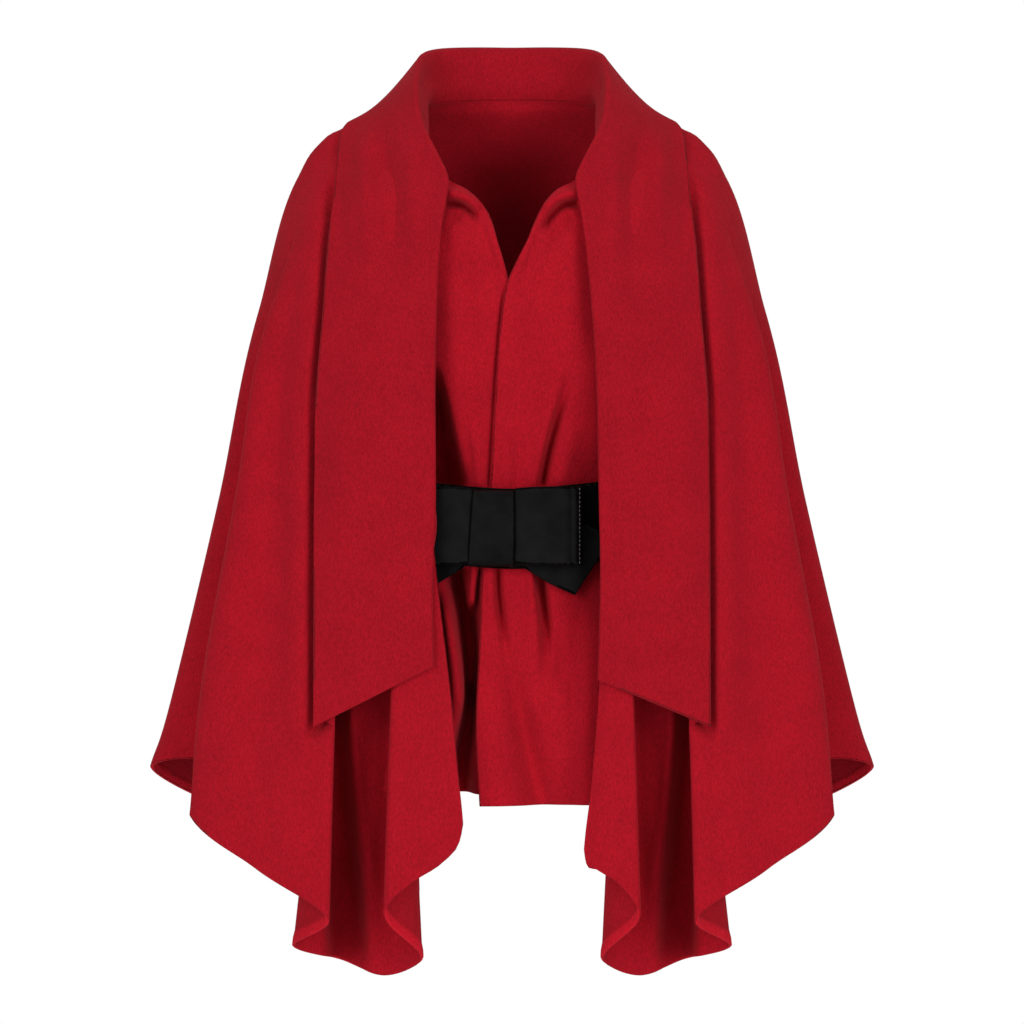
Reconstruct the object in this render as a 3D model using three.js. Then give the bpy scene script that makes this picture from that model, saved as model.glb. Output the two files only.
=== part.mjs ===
// A belted wool cape, worn open over its own waisted inner fronts, with a black leather bow belt.
//
// Millimetres. +X is the viewer's right, -Y the front, +Z up. The origin lies between the two points
// where the neck meets the shoulders, on the line by which a wearer's shoulders carry the garment.
// Left and right in names are the wearer's: the wearer's right side lies at -X.

import * as THREE from 'three';

// Driving sizes
const WOOL = 2.4;               // thickness of the felted wool
const LEATHER = 2;              // thickness of the belt and bow leather
const SEAM_GAP = 0.3;           // space left between two pieces at a seam
const CHEST_LEVEL = -211;       // height of the ring round the upper arms
const WAIST_LEVEL = -400;
const LOW_LEVEL = -600;
const BELT_HEIGHT = 79;
const BELT_MIDDLE = -426;
const WAIST_HALF_WIDTH = 121;
const WAIST_FRONT = 97;         // depth of the waist before the origin
const WAIST_BACK = 84;
const BOW_CENTRE_X = -18.2;
const BOW_HALF_WIDTH = 86.5;

const COLOURS = { wool: 0xa01623, leather: 0x171616 };

// Turns rows of numbers into objects with the column names
function table(columns, rows) {
  const names = columns.split(' ');
  return rows.map((row) => Object.fromEntries(names.map((name, i) => [name, row[i]])));
}

const point = (x, y, z) => new THREE.Vector3(x, y, z);
const mix = (a, b, t) => a.clone().lerp(b, t);

// A smooth curve through points at rising knots
function curveAt(knots, points, t) {
  const last = knots.length - 1;
  let i = 0;
  while (i < last - 1 && t > knots[i + 1]) i += 1;
  const slope = (k) => points[k + 1].clone().sub(points[k]).divideScalar(knots[k + 1] - knots[k]);
  const tangent = (k) => {
    if (k === 0) return slope(0);
    if (k === last) return slope(last - 1);
    const before = knots[k] - knots[k - 1];
    const after = knots[k + 1] - knots[k];
    return slope(k - 1).multiplyScalar(after).addScaledVector(slope(k), before).divideScalar(before + after);
  };
  const h = knots[i + 1] - knots[i];
  const s = (t - knots[i]) / h;
  const s2 = s * s;
  const s3 = s2 * s;
  return points[i].clone().multiplyScalar(2 * s3 - 3 * s2 + 1)
    .addScaledVector(tangent(i), h * (s3 - 2 * s2 + s))
    .addScaledVector(points[i + 1], 3 * s2 - 2 * s3)
    .addScaledVector(tangent(i + 1), h * (s3 - s2));
}

function chordKnots(points) {
  const knots = [0];
  for (let i = 1; i < points.length; i += 1) {
    knots.push(knots[i - 1] + Math.max(points[i].distanceTo(points[i - 1]), 0.01));
  }
  return knots;
}

// The cape's upper rings, one row each, from the neck seam to the upper arms. The front columns hold
// where the ring starts at the cape's front edge, the side ones the shoulder line, the back ones the
// middle of the back.
const RINGS = table('name frontX frontY frontZ sideX sideY sideZ backY backZ', [
  ['neck', 78, -90, -84, 88, 5, -5, 62, 4],
  ['shoulder', 79, -98, -110, 159, 5, -23, 73, -30],
  ['yoke', 80, -107, -142, 203, 5, -62, 99, -80],
  ['chest', 82, -126, CHEST_LEVEL, 252, 0, CHEST_LEVEL, 122, CHEST_LEVEL],
]);

// The fold lines of one half, front edge to middle of the back. "at" is the place on the upper rings:
// 0 front edge, 1 shoulder line, 2 middle of the back. A ridge (1) shows outside, a valley (0) lies
// inside a fold. Steps is how many facets run from this line to the next.
const FOLD_LINES = table('name at ridge waistX waistY lowX lowY hemX hemY hemZ steps', [
  ['front edge', 0, 1, 80, -132, 58.5, -142, 47.5, -150, -727, 2],
  ['front strip', 0.035, 1, 91, -135, 77, -147, 66, -155, -754, 2],
  ['box fold, inner ridge', 0.09, 1, 111, -138, 117, -150, 124, -160, -801, 3],
  ['box fold, inner turn', 0.14, 0, 107, -128, 101, -113, 90, -109, -853, 3],
  ['box fold, low corner', 0.18, 0, 126, -124, 123, -99, 126, -84, -869, 2],
  ['box fold, wall', 0.22, 0, 145, -122, 153, -97, 170, -82, -854, 3],
  ['box fold, outer turn', 0.26, 0, 167, -120, 187, -106, 213, -98, -841, 3],
  ['box fold, outer ridge', 0.31, 1, 160, -132, 173, -146, 179, -157, -810, 3],
  ['broad front', 0.5, 1, 213, -108, 236, -124, 250, -138, -761, 3],
  ['side ridge', 0.706, 1, 265, -68, 301, -84, 315, -98, -709, 3],
  ['side valley', 0.85, 0, 269, -40, 302, -50, 311, -56, -658, 3],
  ['side line', 1, 1, 292, -5, 339, -12, 359, -18, -666, 3],
  ['back valley 1', 1.15, 0, 272, 38, 306, 40, 318, 42, -698, 3],
  ['back ridge 1', 1.32, 1, 250, 84, 284, 108, 296, 122, -702, 3],
  ['back valley 2', 1.47, 0, 205, 90, 222, 98, 228, 100, -703, 3],
  ['back ridge 2', 1.62, 1, 158, 128, 171, 158, 176, 174, -704, 3],
  ['back valley 3', 1.76, 0, 108, 124, 110, 136, 110, 140, -702, 3],
  ['back ridge 3', 1.89, 1, 55, 146, 58, 176, 60, 192, -700, 3],
  ['back middle', 2, 0, 0, 138, 0, 154, 0, 160, -698, 3],
]);

// Where the wearer's left half differs from the mirrored right half
const LEFT_CHANGES = {
  'front edge': { chestX: 86, waistX: 91, lowX: 84, hemX: 70, hemZ: -752 },
  'front strip': { chestX: 94, waistX: 99, lowX: 92, hemX: 82, hemZ: -762 },
  'back ridge 1': { hemX: 290, hemY: 128 },
  'back valley 2': { hemX: 220, hemY: 104 },
  'back ridge 2': { hemX: 166, hemY: 168 },
  'back valley 3': { hemX: 98, hemY: 146 },
  'back ridge 3': { hemX: 50, hemY: 186 },
};

const LINE_KNOTS = [0, 0.07, 0.13, 0.27, 0.5, 0.74, 1];

function ringPoint(ring, at) {
  const angle = at * Math.PI / 2;
  const across = Math.sin(angle);
  const along = Math.abs(Math.cos(angle));
  const front = at <= 1;
  const startX = front ? ring.frontX : 0;
  const endY = front ? ring.frontY : ring.backY;
  const endZ = front ? ring.frontZ : ring.backZ;
  return point(
    startX + (ring.sideX - startX) * across,
    ring.sideY + (endY - ring.sideY) * along,
    ring.sideZ + (endZ - ring.sideZ) * along,
  );
}

// The points that one fold line passes, neck to hem, on the +X side (side 1) or the -X side (-1)
function linePoints(row, side) {
  const line = side > 0 ? { ...row, ...LEFT_CHANGES[row.name] } : row;
  const points = [
    ...RINGS.map((ring) => ringPoint(ring, line.at)),
    point(line.waistX, line.waistY, WAIST_LEVEL),
    point(line.lowX, line.lowY, LOW_LEVEL),
    point(line.hemX, line.hemY, line.hemZ),
  ];
  if (line.chestX) points[RINGS.length - 1].x = line.chestX;
  return points.map((p) => point(p.x * side, p.y, p.z));
}

// A surface through fold lines. u counts lines, v runs from the neck (0) to the hem (1).
class DrapedSurface {
  constructor(lines) {
    this.lines = lines;
  }

  point(u, v) {
    const first = Math.max(0, Math.min(this.lines.length - 2, Math.floor(u)));
    const from = Math.max(0, first - 1);
    const to = Math.min(this.lines.length - 1, first + 2);
    const points = this.lines.slice(from, to + 1).map((line) => curveAt(LINE_KNOTS, line, v));
    const knots = chordKnots(points);
    const start = knots[first - from];
    const end = knots[first - from + 1];
    return curveAt(knots, points, start + (end - start) * (u - first));
  }

  // Outward normal: away from the body
  normal(u, v) {
    const last = this.lines.length - 1;
    const du = 0.02;
    const dv = 0.004;
    const a = this.point(Math.min(last, u + du), v).sub(this.point(Math.max(0, u - du), v));
    const b = this.point(u, Math.min(1, v + dv)).sub(this.point(u, Math.max(0, v - dv)));
    return a.cross(b).normalize();
  }
}

// The whole cape, from the wearer's right front edge round the back to the left one
const RIGHT_HALF = FOLD_LINES.map((row) => linePoints(row, -1));
const LEFT_HALF = FOLD_LINES.map((row) => linePoints(row, 1)).reverse();
const CAPE = new DrapedSurface([...RIGHT_HALF, ...LEFT_HALF.slice(1)]);
const LINE_COUNT = FOLD_LINES.length;
const LAST_LINE = 2 * LINE_COUNT - 2;
const SIDE_LINE = FOLD_LINES.findIndex((row) => row.name === 'side line');

// The same cape drawn tight over its ridges: the lapels and collar hang on this form
const RIDGES = FOLD_LINES.filter((row) => row.ridge);
const ENVELOPE = new DrapedSurface([
  ...RIDGES.map((row) => linePoints(row, -1)),
  ...RIDGES.map((row) => linePoints(row, 1)).reverse(),
]);

// Closed wall on a grid of points: "out" is the wall outside the points, "inside" the wall within
function wallGeometry(grid, normals, out, inside) {
  const rows = grid.length;
  const columns = grid[0].length;
  const positions = [];
  for (const shift of [out, -inside]) {
    grid.forEach((row, i) => row.forEach((p, j) => {
      const q = p.clone().addScaledVector(normals[i][j], shift);
      positions.push(q.x, q.y, q.z);
    }));
  }
  const layer = rows * columns;
  const id = (i, j, side) => side * layer + i * columns + j;
  const faces = [];
  const quad = (a, b, c, d) => faces.push(a, b, c, a, c, d);
  for (let i = 0; i < rows - 1; i += 1) {
    for (let j = 0; j < columns - 1; j += 1) {
      quad(id(i, j, 0), id(i + 1, j, 0), id(i + 1, j + 1, 0), id(i, j + 1, 0));
      quad(id(i, j, 1), id(i, j + 1, 1), id(i + 1, j + 1, 1), id(i + 1, j, 1));
    }
  }
  for (let i = 0; i < rows - 1; i += 1) {
    quad(id(i, 0, 0), id(i, 0, 1), id(i + 1, 0, 1), id(i + 1, 0, 0));
    quad(id(i, columns - 1, 0), id(i + 1, columns - 1, 0), id(i + 1, columns - 1, 1), id(i, columns - 1, 1));
  }
  for (let j = 0; j < columns - 1; j += 1) {
    quad(id(0, j, 0), id(0, j + 1, 0), id(0, j + 1, 1), id(0, j, 1));
    quad(id(rows - 1, j, 0), id(rows - 1, j, 1), id(rows - 1, j + 1, 1), id(rows - 1, j + 1, 0));
  }
  return closedGeometry(positions, faces);
}

// A geometry whose faces point out, whichever way the grid ran
function closedGeometry(positions, faces) {
  const corner = (i) => point(positions[3 * i], positions[3 * i + 1], positions[3 * i + 2]);
  let volume = 0;
  for (let i = 0; i < faces.length; i += 3) {
    volume += corner(faces[i]).dot(corner(faces[i + 1]).cross(corner(faces[i + 2])));
  }
  if (volume < 0) {
    for (let i = 0; i < faces.length; i += 3) {
      [faces[i + 1], faces[i + 2]] = [faces[i + 2], faces[i + 1]];
    }
  }
  const geometry = new THREE.BufferGeometry();
  geometry.setAttribute('position', new THREE.Float32BufferAttribute(positions, 3));
  geometry.setIndex(faces);
  geometry.computeVertexNormals();
  return geometry;
}

// Normals of a free grid, from its neighbours
function gridNormals(grid) {
  const rows = grid.length - 1;
  const columns = grid[0].length - 1;
  return grid.map((row, i) => row.map((p, j) => {
    const a = grid[Math.min(rows, i + 1)][j].clone().sub(grid[Math.max(0, i - 1)][j]);
    const b = row[Math.min(columns, j + 1)].clone().sub(row[Math.max(0, j - 1)]);
    return a.cross(b).normalize();
  }));
}

// Moves the first or last point of a run of points in from a seam by half the seam's gap
function trimRun(run) {
  const trim = (edge, next) => edge.addScaledVector(next.clone().sub(edge).normalize(), SEAM_GAP / 2);
  trim(run[0], run[1]);
  trim(run[run.length - 1], run[run.length - 2]);
}

// Cape panels

const SHOULDER_ROWS = 10;
const SKIRT_ROWS = 10;

function capePanel(fromLine, toLine) {
  const stepsAfter = (line) => {
    const index = line < LINE_COUNT - 1 ? line : LAST_LINE - line - 1;
    return FOLD_LINES[index].steps;
  };
  const across = [];
  for (let line = fromLine; line < toLine; line += 1) {
    const steps = stepsAfter(line);
    for (let k = 0; k < steps; k += 1) across.push(line + k / steps);
  }
  across.push(toLine);
  const chest = LINE_KNOTS[RINGS.length - 1];
  const down = [];
  for (let i = 0; i < SHOULDER_ROWS; i += 1) down.push(chest * i / SHOULDER_ROWS);
  for (let i = 0; i <= SKIRT_ROWS; i += 1) down.push(chest + (1 - chest) * i / SKIRT_ROWS);
  const grid = down.map((v) => across.map((u) => CAPE.point(u, v)));
  const normals = down.map((v) => across.map((u) => CAPE.normal(u, v)));
  grid.forEach(trimRun);
  return wallGeometry(grid, normals, WOOL / 2, WOOL / 2);
}

// Collar and lapels: one long band, sewn to the neck and to the front edges, rolled outward

// Lapel sections, end to neck: height of the roll, where its crest lies, where the free outer edge
// lies, and how far the band is sewn to the cape's front edge there (1) or hangs free (0). The crest
// of the wearer's left lapel lies a little further out.
const LAPEL_SECTIONS = table('z rollX leftRollX rollY edgeX edgeY edgeZ sewn', [
  [-563, 77, 84.5, -151, 194, -140, -622, 0],
  [-530, 78, 86, -149, 194, -138, -585, 0],
  [-484, 78.5, 87, -145, 194, -132, -522, 0],
  [-450, 77.5, 87, -142, 194, -125, -474, 0.4],
  [-428, 76.5, 86.5, -140, 194, -120, -445, 0.98],
  [-405, 75.5, 86, -137.5, 194, -115, -412, 1],
  [-376, 75.5, 85.5, -136, 193.5, -110, -376, 1],
  [-284, 76, 83.5, -133, 192, -95, -290, 1],
  [-200, 74, 78, -129, 186, -85, -215, 1],
  [-133, 70, 71, -117, 182, -75, -150, 1],
  [-103, 65, 66, -109, 179, -65, -120, 1],
]);
// The wearer's left lapel ends a little lower at its roll
const LEFT_LAPEL_END = { z: -576 };

// Collar sections, front of the neck to the middle of the back: place on the neck seam, crest of the
// roll, free outer edge, and how far the fall swells out between them
const COLLAR_SECTIONS = table('at rollX rollY rollZ edgeX edgeY edgeZ swell', [
  [0, 62, -103, -86, 177, -55, -101, 2],
  [0.3, 70, -92, -62, 175, -42, -80, 2],
  [0.6, 87, -62, -22, 172, -22, -54, 2],
  [0.85, 94, -30, 14, 168, -6, -36, -2],
  [1, 94, 0, 34, 160, 8, -22, -4],
  [1.2, 91, 25, 47, 146, 42, -22, 0],
  [1.45, 77, 52, 54, 114, 68, -30, 9],
  [1.75, 38, 70, 57, 56, 82, -38, 12],
  [2, 0, 75, 57, 0, 86, -40, 12],
]);
const COLLAR_CLEAR = 5.4;         // from the cape's ridges to the band's middle surface
const LAPEL_CLEAR = 3.2;        // the same for the lapel's inner turn, below its seam

const FORWARD = point(0, -1, 0);
const REACH = 18;               // how far round a spot the cape's ridges count

function surfaceSpots(surface, stepU, lastV, stepV) {
  const spots = [];
  for (let u = 0; u <= surface.lines.length - 1; u += stepU) {
    for (let v = 0; v <= lastV; v += stepV) {
      spots.push({ place: surface.point(u, v), normal: surface.normal(u, v), raise: 0 });
    }
  }
  return spots;
}

const CAPE_SPOTS = surfaceSpots(CAPE, 0.25, 0.86, 0.0125);
const ENVELOPE_SPOTS = surfaceSpots(ENVELOPE, 0.2, 0.86, 0.0125);
for (const spot of ENVELOPE_SPOTS) {
  for (const ridge of CAPE_SPOTS) {
    const away = ridge.place.clone().sub(spot.place);
    const height = away.dot(spot.normal);
    if (height > spot.raise && height < REACH && away.lengthSq() - height * height < REACH * REACH / 2) {
      spot.raise = height;
    }
  }
}

function nearestSpot(spots, p) {
  let nearest = spots[0];
  let best = Infinity;
  for (const spot of spots) {
    const distance = spot.place.distanceToSquared(p);
    if (distance < best) {
      best = distance;
      nearest = spot;
    }
  }
  return nearest;
}

// Lifts a point until it clears the cape's ridges: straight forward (turn 0) or along the normal (1)
function liftOff(p, clear, turn) {
  let q = p.clone();
  for (let i = 0; i < 4; i += 1) {
    const spot = nearestSpot(ENVELOPE_SPOTS, q);
    const height = q.clone().sub(spot.place).dot(spot.normal);
    const way = mix(FORWARD, spot.normal, turn).normalize();
    q = q.addScaledVector(way, Math.max(0, clear + spot.raise - height) / way.dot(spot.normal));
  }
  return q;
}

// Presses a point in until it lies below the cape
function pressUnder(p, clear) {
  let q = p.clone();
  for (let i = 0; i < 3; i += 1) {
    const spot = nearestSpot(CAPE_SPOTS, q);
    const height = q.clone().sub(spot.place).dot(spot.normal);
    q = q.addScaledVector(spot.normal, Math.min(0, -clear - height));
  }
  return q;
}

// The place on a fold line at a height
function heightOnLine(line, z) {
  let low = 0;
  let high = 1;
  for (let i = 0; i < 30; i += 1) {
    const middle = (low + high) / 2;
    if (CAPE.point(line, middle).z > z) low = middle;
    else high = middle;
  }
  return (low + high) / 2;
}

// Line number for a place on the neck ring
function lineAtPlace(at) {
  const last = FOLD_LINES.length - 2;
  let i = 0;
  while (i < last && FOLD_LINES[i + 1].at < at) i += 1;
  return i + (at - FOLD_LINES[i].at) / (FOLD_LINES[i + 1].at - FOLD_LINES[i].at);
}

// Seam point, crest and free edge of each band section on one side, lapel end to middle of the back
function bandStations(side) {
  const place = (u) => (side < 0 ? u : LAST_LINE - u);
  const lapel = LAPEL_SECTIONS.map((row, index) => {
    const section = side > 0 && index === 0 ? { ...row, ...LEFT_LAPEL_END } : row;
    const v = heightOnLine(place(0), section.z);
    const crest = point((side > 0 ? section.leftRollX : section.rollX) * side, section.rollY, section.z);
    const free = crest.clone().add(point(7 * side, 4, 0));
    const edge = CAPE.point(place(0), v);
    const loose = liftOff(mix(free, edge, section.sewn), LAPEL_CLEAR, 0).add(point(-side, 0, 0));
    return {
      seam: section.sewn < 1 ? loose : edge,
      normal: CAPE.normal(place(0), v),
      crest,
      edge: point(section.edgeX * side, section.edgeY, section.edgeZ),
      shape: point(0, 0, 0),
    };
  });
  const collar = COLLAR_SECTIONS.map((row) => ({
    seam: CAPE.point(place(lineAtPlace(row.at)), 0),
    normal: CAPE.normal(place(lineAtPlace(row.at)), 0),
    crest: point(row.rollX * side, row.rollY, row.rollZ),
    edge: point(row.edgeX * side, row.edgeY, row.edgeZ),
    shape: point(row.swell, Math.min(1, row.at / 0.85), 0),
  }));
  return [...lapel, ...collar];
}

// Extra room at the seam where the band turns from the neck to the front edge, and where it leaves it
const SEAM_EASE = table('z room reach', [
  [-86, 3.4, 16],
  [-418, 1.6, 20],
]);
const FALL_PLACES = [0.07, 0.2, 0.45, 0.72, 1];

function bandSection(seam, into, crest, edge, shape, normal) {
  const ease = (e) => e.room * Math.exp(-(((seam.z - e.z) / e.reach) ** 2));
  const gap = SEAM_GAP + SEAM_EASE.reduce((sum, e) => sum + ease(e), 0);
  const start = seam.clone().addScaledVector(into, gap);
  const next = seam.clone().addScaledVector(into, gap + 3.5);
  const rise = mix(next, crest, 0.5);
  const fall = FALL_PLACES.map((k) => {
    const p = mix(crest, edge, k).addScaledVector(normal, shape.x * 4 * k * (1 - k));
    return liftOff(p, COLLAR_CLEAR + 2.5 * (1 - k), Math.max(0, Math.min(1, shape.y)));
  });
  return [start, next, rise, crest, ...fall];
}

const BAND_STEPS = 56;

function collarBand() {
  const right = bandStations(-1);
  const left = bandStations(1).reverse();
  const stations = [...right, ...left.slice(1)];
  const knots = chordKnots(stations.map((s) => s.crest));
  const total = knots[knots.length - 1];
  const pick = (name, t) => curveAt(knots, stations.map((s) => s[name]), t);
  const grid = [];
  for (let k = 0; k <= BAND_STEPS; k += 1) {
    const t = total * k / BAND_STEPS;
    const along = pick('seam', Math.min(total, t + 1)).sub(pick('seam', Math.max(0, t - 1)));
    const normal = pick('normal', t).normalize();
    const into = along.clone().cross(normal).normalize();
    const section = bandSection(pick('seam', t), into, pick('crest', t), pick('edge', t), pick('shape', t), normal);
    const marks = chordKnots(section);
    const places = [];
    marks.forEach((mark, i) => {
      places.push(mark);
      if (i >= 2 && i <= 4) places.push((mark + marks[i + 1]) / 2);
    });
    grid.push(places.map((m) => curveAt(marks, section, m)));
  }
  return wallGeometry(grid, gridNormals(grid), WOOL / 2, WOOL / 2);
}

// Inner fronts

// Sections of an inner front, shoulder to hem: its centre edge (of the under and the over panel) and
// its side edge
const INNER_SECTIONS = table('name underX overX edgeY edgeZ sideX sideY sideZ', [
  ['neck', 84, 84, -44, -48, 160, -26, -80],
  ['lip', 63, 63, -84, -84, 162, -46, -124],
  ['lip end', 41, 41, -93, -97, 156, -50, -150],
  ['opening', 25, 28, -100, -114, 150, -50, -172],
  ['opening, middle', 14, 14, -107, -147, 144, -46, -204],
  ['opening, point', 3, -4, -113, -185, 139, -38, -240],
  ['bust', -8, -12, -116, -235, 134, -28, -280],
  ['under bust', -8, -16, -110, -300, 128, -16, -320],
  ['above belt', -6, -19, -101, -352, 123, -8, -358],
  ['belt top', -4, -21, -97, -386, 121, -5, -386],
  ['belt bottom', -4, -28, -97, -466, 121, -5, -466],
  ['hip', -2, -32, -106, -541, 138, -8, -541],
  ['low', 0, -35.5, -112, -627, 152, -10, -625],
  ['hem', 0, -32, -114, -701, 160, -10, -697],
]);
const UNDER_SHORTER = 11;       // how much higher the under panel's hem lies
const INNER_ROWS = 24;
const INNER_COLUMNS = 12;
const SQUARENESS = 0.6;         // 1 is an ellipse, smaller is fuller at the side front
const OVERLAP_STEP = WOOL + 2;
const INNER_CLEAR = 3.6;        // from the cape's middle surface in to the inner front's

// Soft folds pressed in by the belt. Middle is the fold's x at the belt and at its far end.
const GATHERS = table('panel beltX endX beltZ endZ width depth', [
  ['under', -52, -72, -386, -290, 9, -9],
  ['under', -38, -50, -386, -300, 8, 4],
  ['over', 30, 72, -386, -275, 9, -7],
  ['over', 52, 84, -386, -300, 9, 4],
  ['over', 10, 8, -386, -290, 8, 3],
  ['under', -50, -46, -466, -700, 9, 7],
  ['under', -66, -72, -466, -680, 9, -10],
  ['over', 32, 40, -466, -690, 12, -9],
  ['over', 12, -8, -466, -640, 11, 3],
  ['over', 56, 72, -466, -660, 12, 5],
]);

function gatherDepth(panel, x, z) {
  let depth = 0;
  for (const fold of GATHERS) {
    if (fold.panel !== panel) continue;
    const along = (z - fold.beltZ) / (fold.endZ - fold.beltZ);
    if (along <= 0 || along >= 1.15) continue;
    const middle = fold.beltX + (fold.endX - fold.beltX) * along;
    const strength = Math.sin(Math.PI * Math.min(1, 0.8 * along)) ** 0.8;
    const fade = along > 0.8 ? Math.max(0, (1.15 - along) / 0.35) : 1;
    const spread = fold.width * (1 + 0.5 * along);
    depth += fold.depth * strength * fade * Math.exp(-(((x - middle) / spread) ** 2));
  }
  return depth;
}

function smoothStep(from, to, value) {
  const t = Math.max(0, Math.min(1, (value - from) / (to - from)));
  return t * t * (3 - 2 * t);
}

// side -1 is the under panel (wearer's right), 1 the over panel
function innerFront(side) {
  const panel = side < 0 ? 'under' : 'over';
  const lift = (row) => (side < 0 && row.name === 'hem' ? UNDER_SHORTER : 0);
  const edges = INNER_SECTIONS.map((row) => {
    const x = side < 0 ? -row.underX : row.overX;
    return point(x, row.edgeY, row.edgeZ + lift(row));
  });
  const sides = INNER_SECTIONS.map((row) => point(row.sideX * side, row.sideY, row.sideZ + lift(row)));
  // the top edge hangs from the shoulder seam, just inside the cape
  const shoulder = (v) => {
    const u = side < 0 ? SIDE_LINE - 0.35 : LAST_LINE - SIDE_LINE + 0.35;
    return CAPE.point(u, v).addScaledVector(CAPE.normal(u, v), -INNER_CLEAR);
  };
  edges.unshift(shoulder(0.012));
  sides.unshift(shoulder(0.085));
  const knots = chordKnots(edges.map((p, i) => mix(p, sides[i], 0.5)));
  const total = knots[knots.length - 1];
  const grid = [];
  for (let i = 0; i <= INNER_ROWS; i += 1) {
    const t = total * i / INNER_ROWS;
    const edge = curveAt(knots, edges, t);
    const outer = curveAt(knots, sides, t);
    const row = [];
    for (let j = 0; j <= INNER_COLUMNS; j += 1) {
      const angle = (j / INNER_COLUMNS) * Math.PI / 2;
      const p = point(
        edge.x + (outer.x - edge.x) * Math.sin(angle),
        outer.y + (edge.y - outer.y) * Math.cos(angle) ** SQUARENESS,
        edge.z + (outer.z - edge.z) * (j / INNER_COLUMNS),
      );
      p.y -= gatherDepth(panel, p.x, p.z);
      if (side < 0) p.y += OVERLAP_STEP * smoothStep(-56, -40, p.x) * smoothStep(-150, -185, p.z);
      row.push(p.z > WAIST_LEVEL ? pressUnder(p, INNER_CLEAR) : p);
    }
    grid.push(row);
  }
  return wallGeometry(grid, gridNormals(grid), WOOL / 2, WOOL / 2);
}

// Belt and bow

// A leather strip that runs through stations: each has a middle point, the vector from its middle to
// its upper edge, and the direction its outer face looks
function strapGeometry(stations, thickness, closed) {
  const positions = [];
  for (const s of stations) {
    for (const [up, out] of [[1, 1], [-1, 1], [-1, 0], [1, 0]]) {
      const q = s.middle.clone().addScaledVector(s.half, up).addScaledVector(s.out, out * thickness);
      positions.push(q.x, q.y, q.z);
    }
  }
  const count = stations.length;
  const faces = [];
  const spans = closed ? count : count - 1;
  for (let i = 0; i < spans; i += 1) {
    const next = (i + 1) % count;
    for (let k = 0; k < 4; k += 1) {
      const a = 4 * i + k;
      const b = 4 * i + (k + 1) % 4;
      const c = 4 * next + (k + 1) % 4;
      const d = 4 * next + k;
      faces.push(a, b, c, a, c, d);
    }
  }
  if (!closed) {
    const end = 4 * (count - 1);
    faces.push(0, 2, 1, 0, 3, 2);
    faces.push(end, end + 1, end + 2, end, end + 2, end + 3);
  }
  return closedGeometry(positions, faces);
}

// Outward directions of a closed run of points, across the given axis
function outwardDirections(points, axis) {
  const centre = points.reduce((sum, p) => sum.add(p), point(0, 0, 0)).divideScalar(points.length);
  return points.map((p, i) => {
    const before = points[(i + points.length - 1) % points.length];
    const after = points[(i + 1) % points.length];
    const out = after.clone().sub(before).cross(axis).normalize();
    return out.dot(p.clone().sub(centre)) < 0 ? out.negate() : out;
  });
}

const BELT_INSIDE = WOOL / 2 + SEAM_GAP + 0.5;
const BELT_FRONT = WAIST_FRONT + 1.2;
const BELT_TILT = 9;            // how much higher the belt lies at the wearer's left and right

function belt() {
  const steps = 44;
  const path = Array.from({ length: steps }, (_, i) => {
    const angle = i / steps * Math.PI * 2;
    const front = Math.cos(angle) > 0;
    const reach = Math.abs(Math.cos(angle)) ** (front ? SQUARENESS : 0.8);
    const depth = front ? -5 - (BELT_FRONT - 5) * reach : -5 + (WAIST_BACK + 5) * reach;
    return point(WAIST_HALF_WIDTH * Math.sin(angle), depth, BELT_MIDDLE);
  });
  const out = outwardDirections(path, point(0, 0, 1));
  const half = point(0, 0, BELT_HEIGHT / 2);
  const stations = path.map((p, i) => {
    const lift = BELT_TILT * (p.x / WAIST_HALF_WIDTH) ** 2;
    const middle = p.clone().addScaledVector(out[i], BELT_INSIDE).add(point(0, 0, lift));
    return { middle, half, out: out[i] };
  });
  return strapGeometry(stations, LEATHER, true);
}

const KNOT_HALF_DEPTH = 7.5;
const KNOT_HALF_HEIGHT = 35.5;
const KNOT_WIDTH = 41;
const BELT_FACE = -(BELT_FRONT + BELT_INSIDE + LEATHER);
const KNOT_Y = BELT_FACE - SEAM_GAP - LEATHER - KNOT_HALF_DEPTH;
const BOW_Z = -428;

function squareRound(value, power) {
  return Math.sign(value) * Math.abs(value) ** power;
}

function bowKnot() {
  const steps = 24;
  const path = Array.from({ length: steps }, (_, i) => {
    const angle = i / steps * Math.PI * 2;
    const y = KNOT_HALF_DEPTH * squareRound(Math.cos(angle), 0.5);
    const z = KNOT_HALF_HEIGHT * squareRound(Math.sin(angle), 0.5);
    return point(BOW_CENTRE_X, KNOT_Y + y, BOW_Z + z);
  });
  const out = outwardDirections(path, point(1, 0, 0));
  const half = point(KNOT_WIDTH / 2, 0, 0);
  return strapGeometry(path.map((middle, i) => ({ middle, half, out: out[i] })), LEATHER, true);
}

// The bow's two loops, knot to tip: place along the half width, half thickness, half height
const LOOP_SECTIONS = table('at thick high', [
  [0, 3.6, 29],
  [0.236, 3.9, 30],
  [0.255, 4.3, 37],
  [0.42, 6.5, 38.2],
  [0.65, 8.3, 38.7],
  [0.88, 7.2, 38.7],
  [0.97, 4.5, 38.7],
  [1, 0, 38.7],
]);
const LOOP_Y = KNOT_Y - 1.6;
const LOOP_BEND = 8;            // how far the loops' tips bend back

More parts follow.
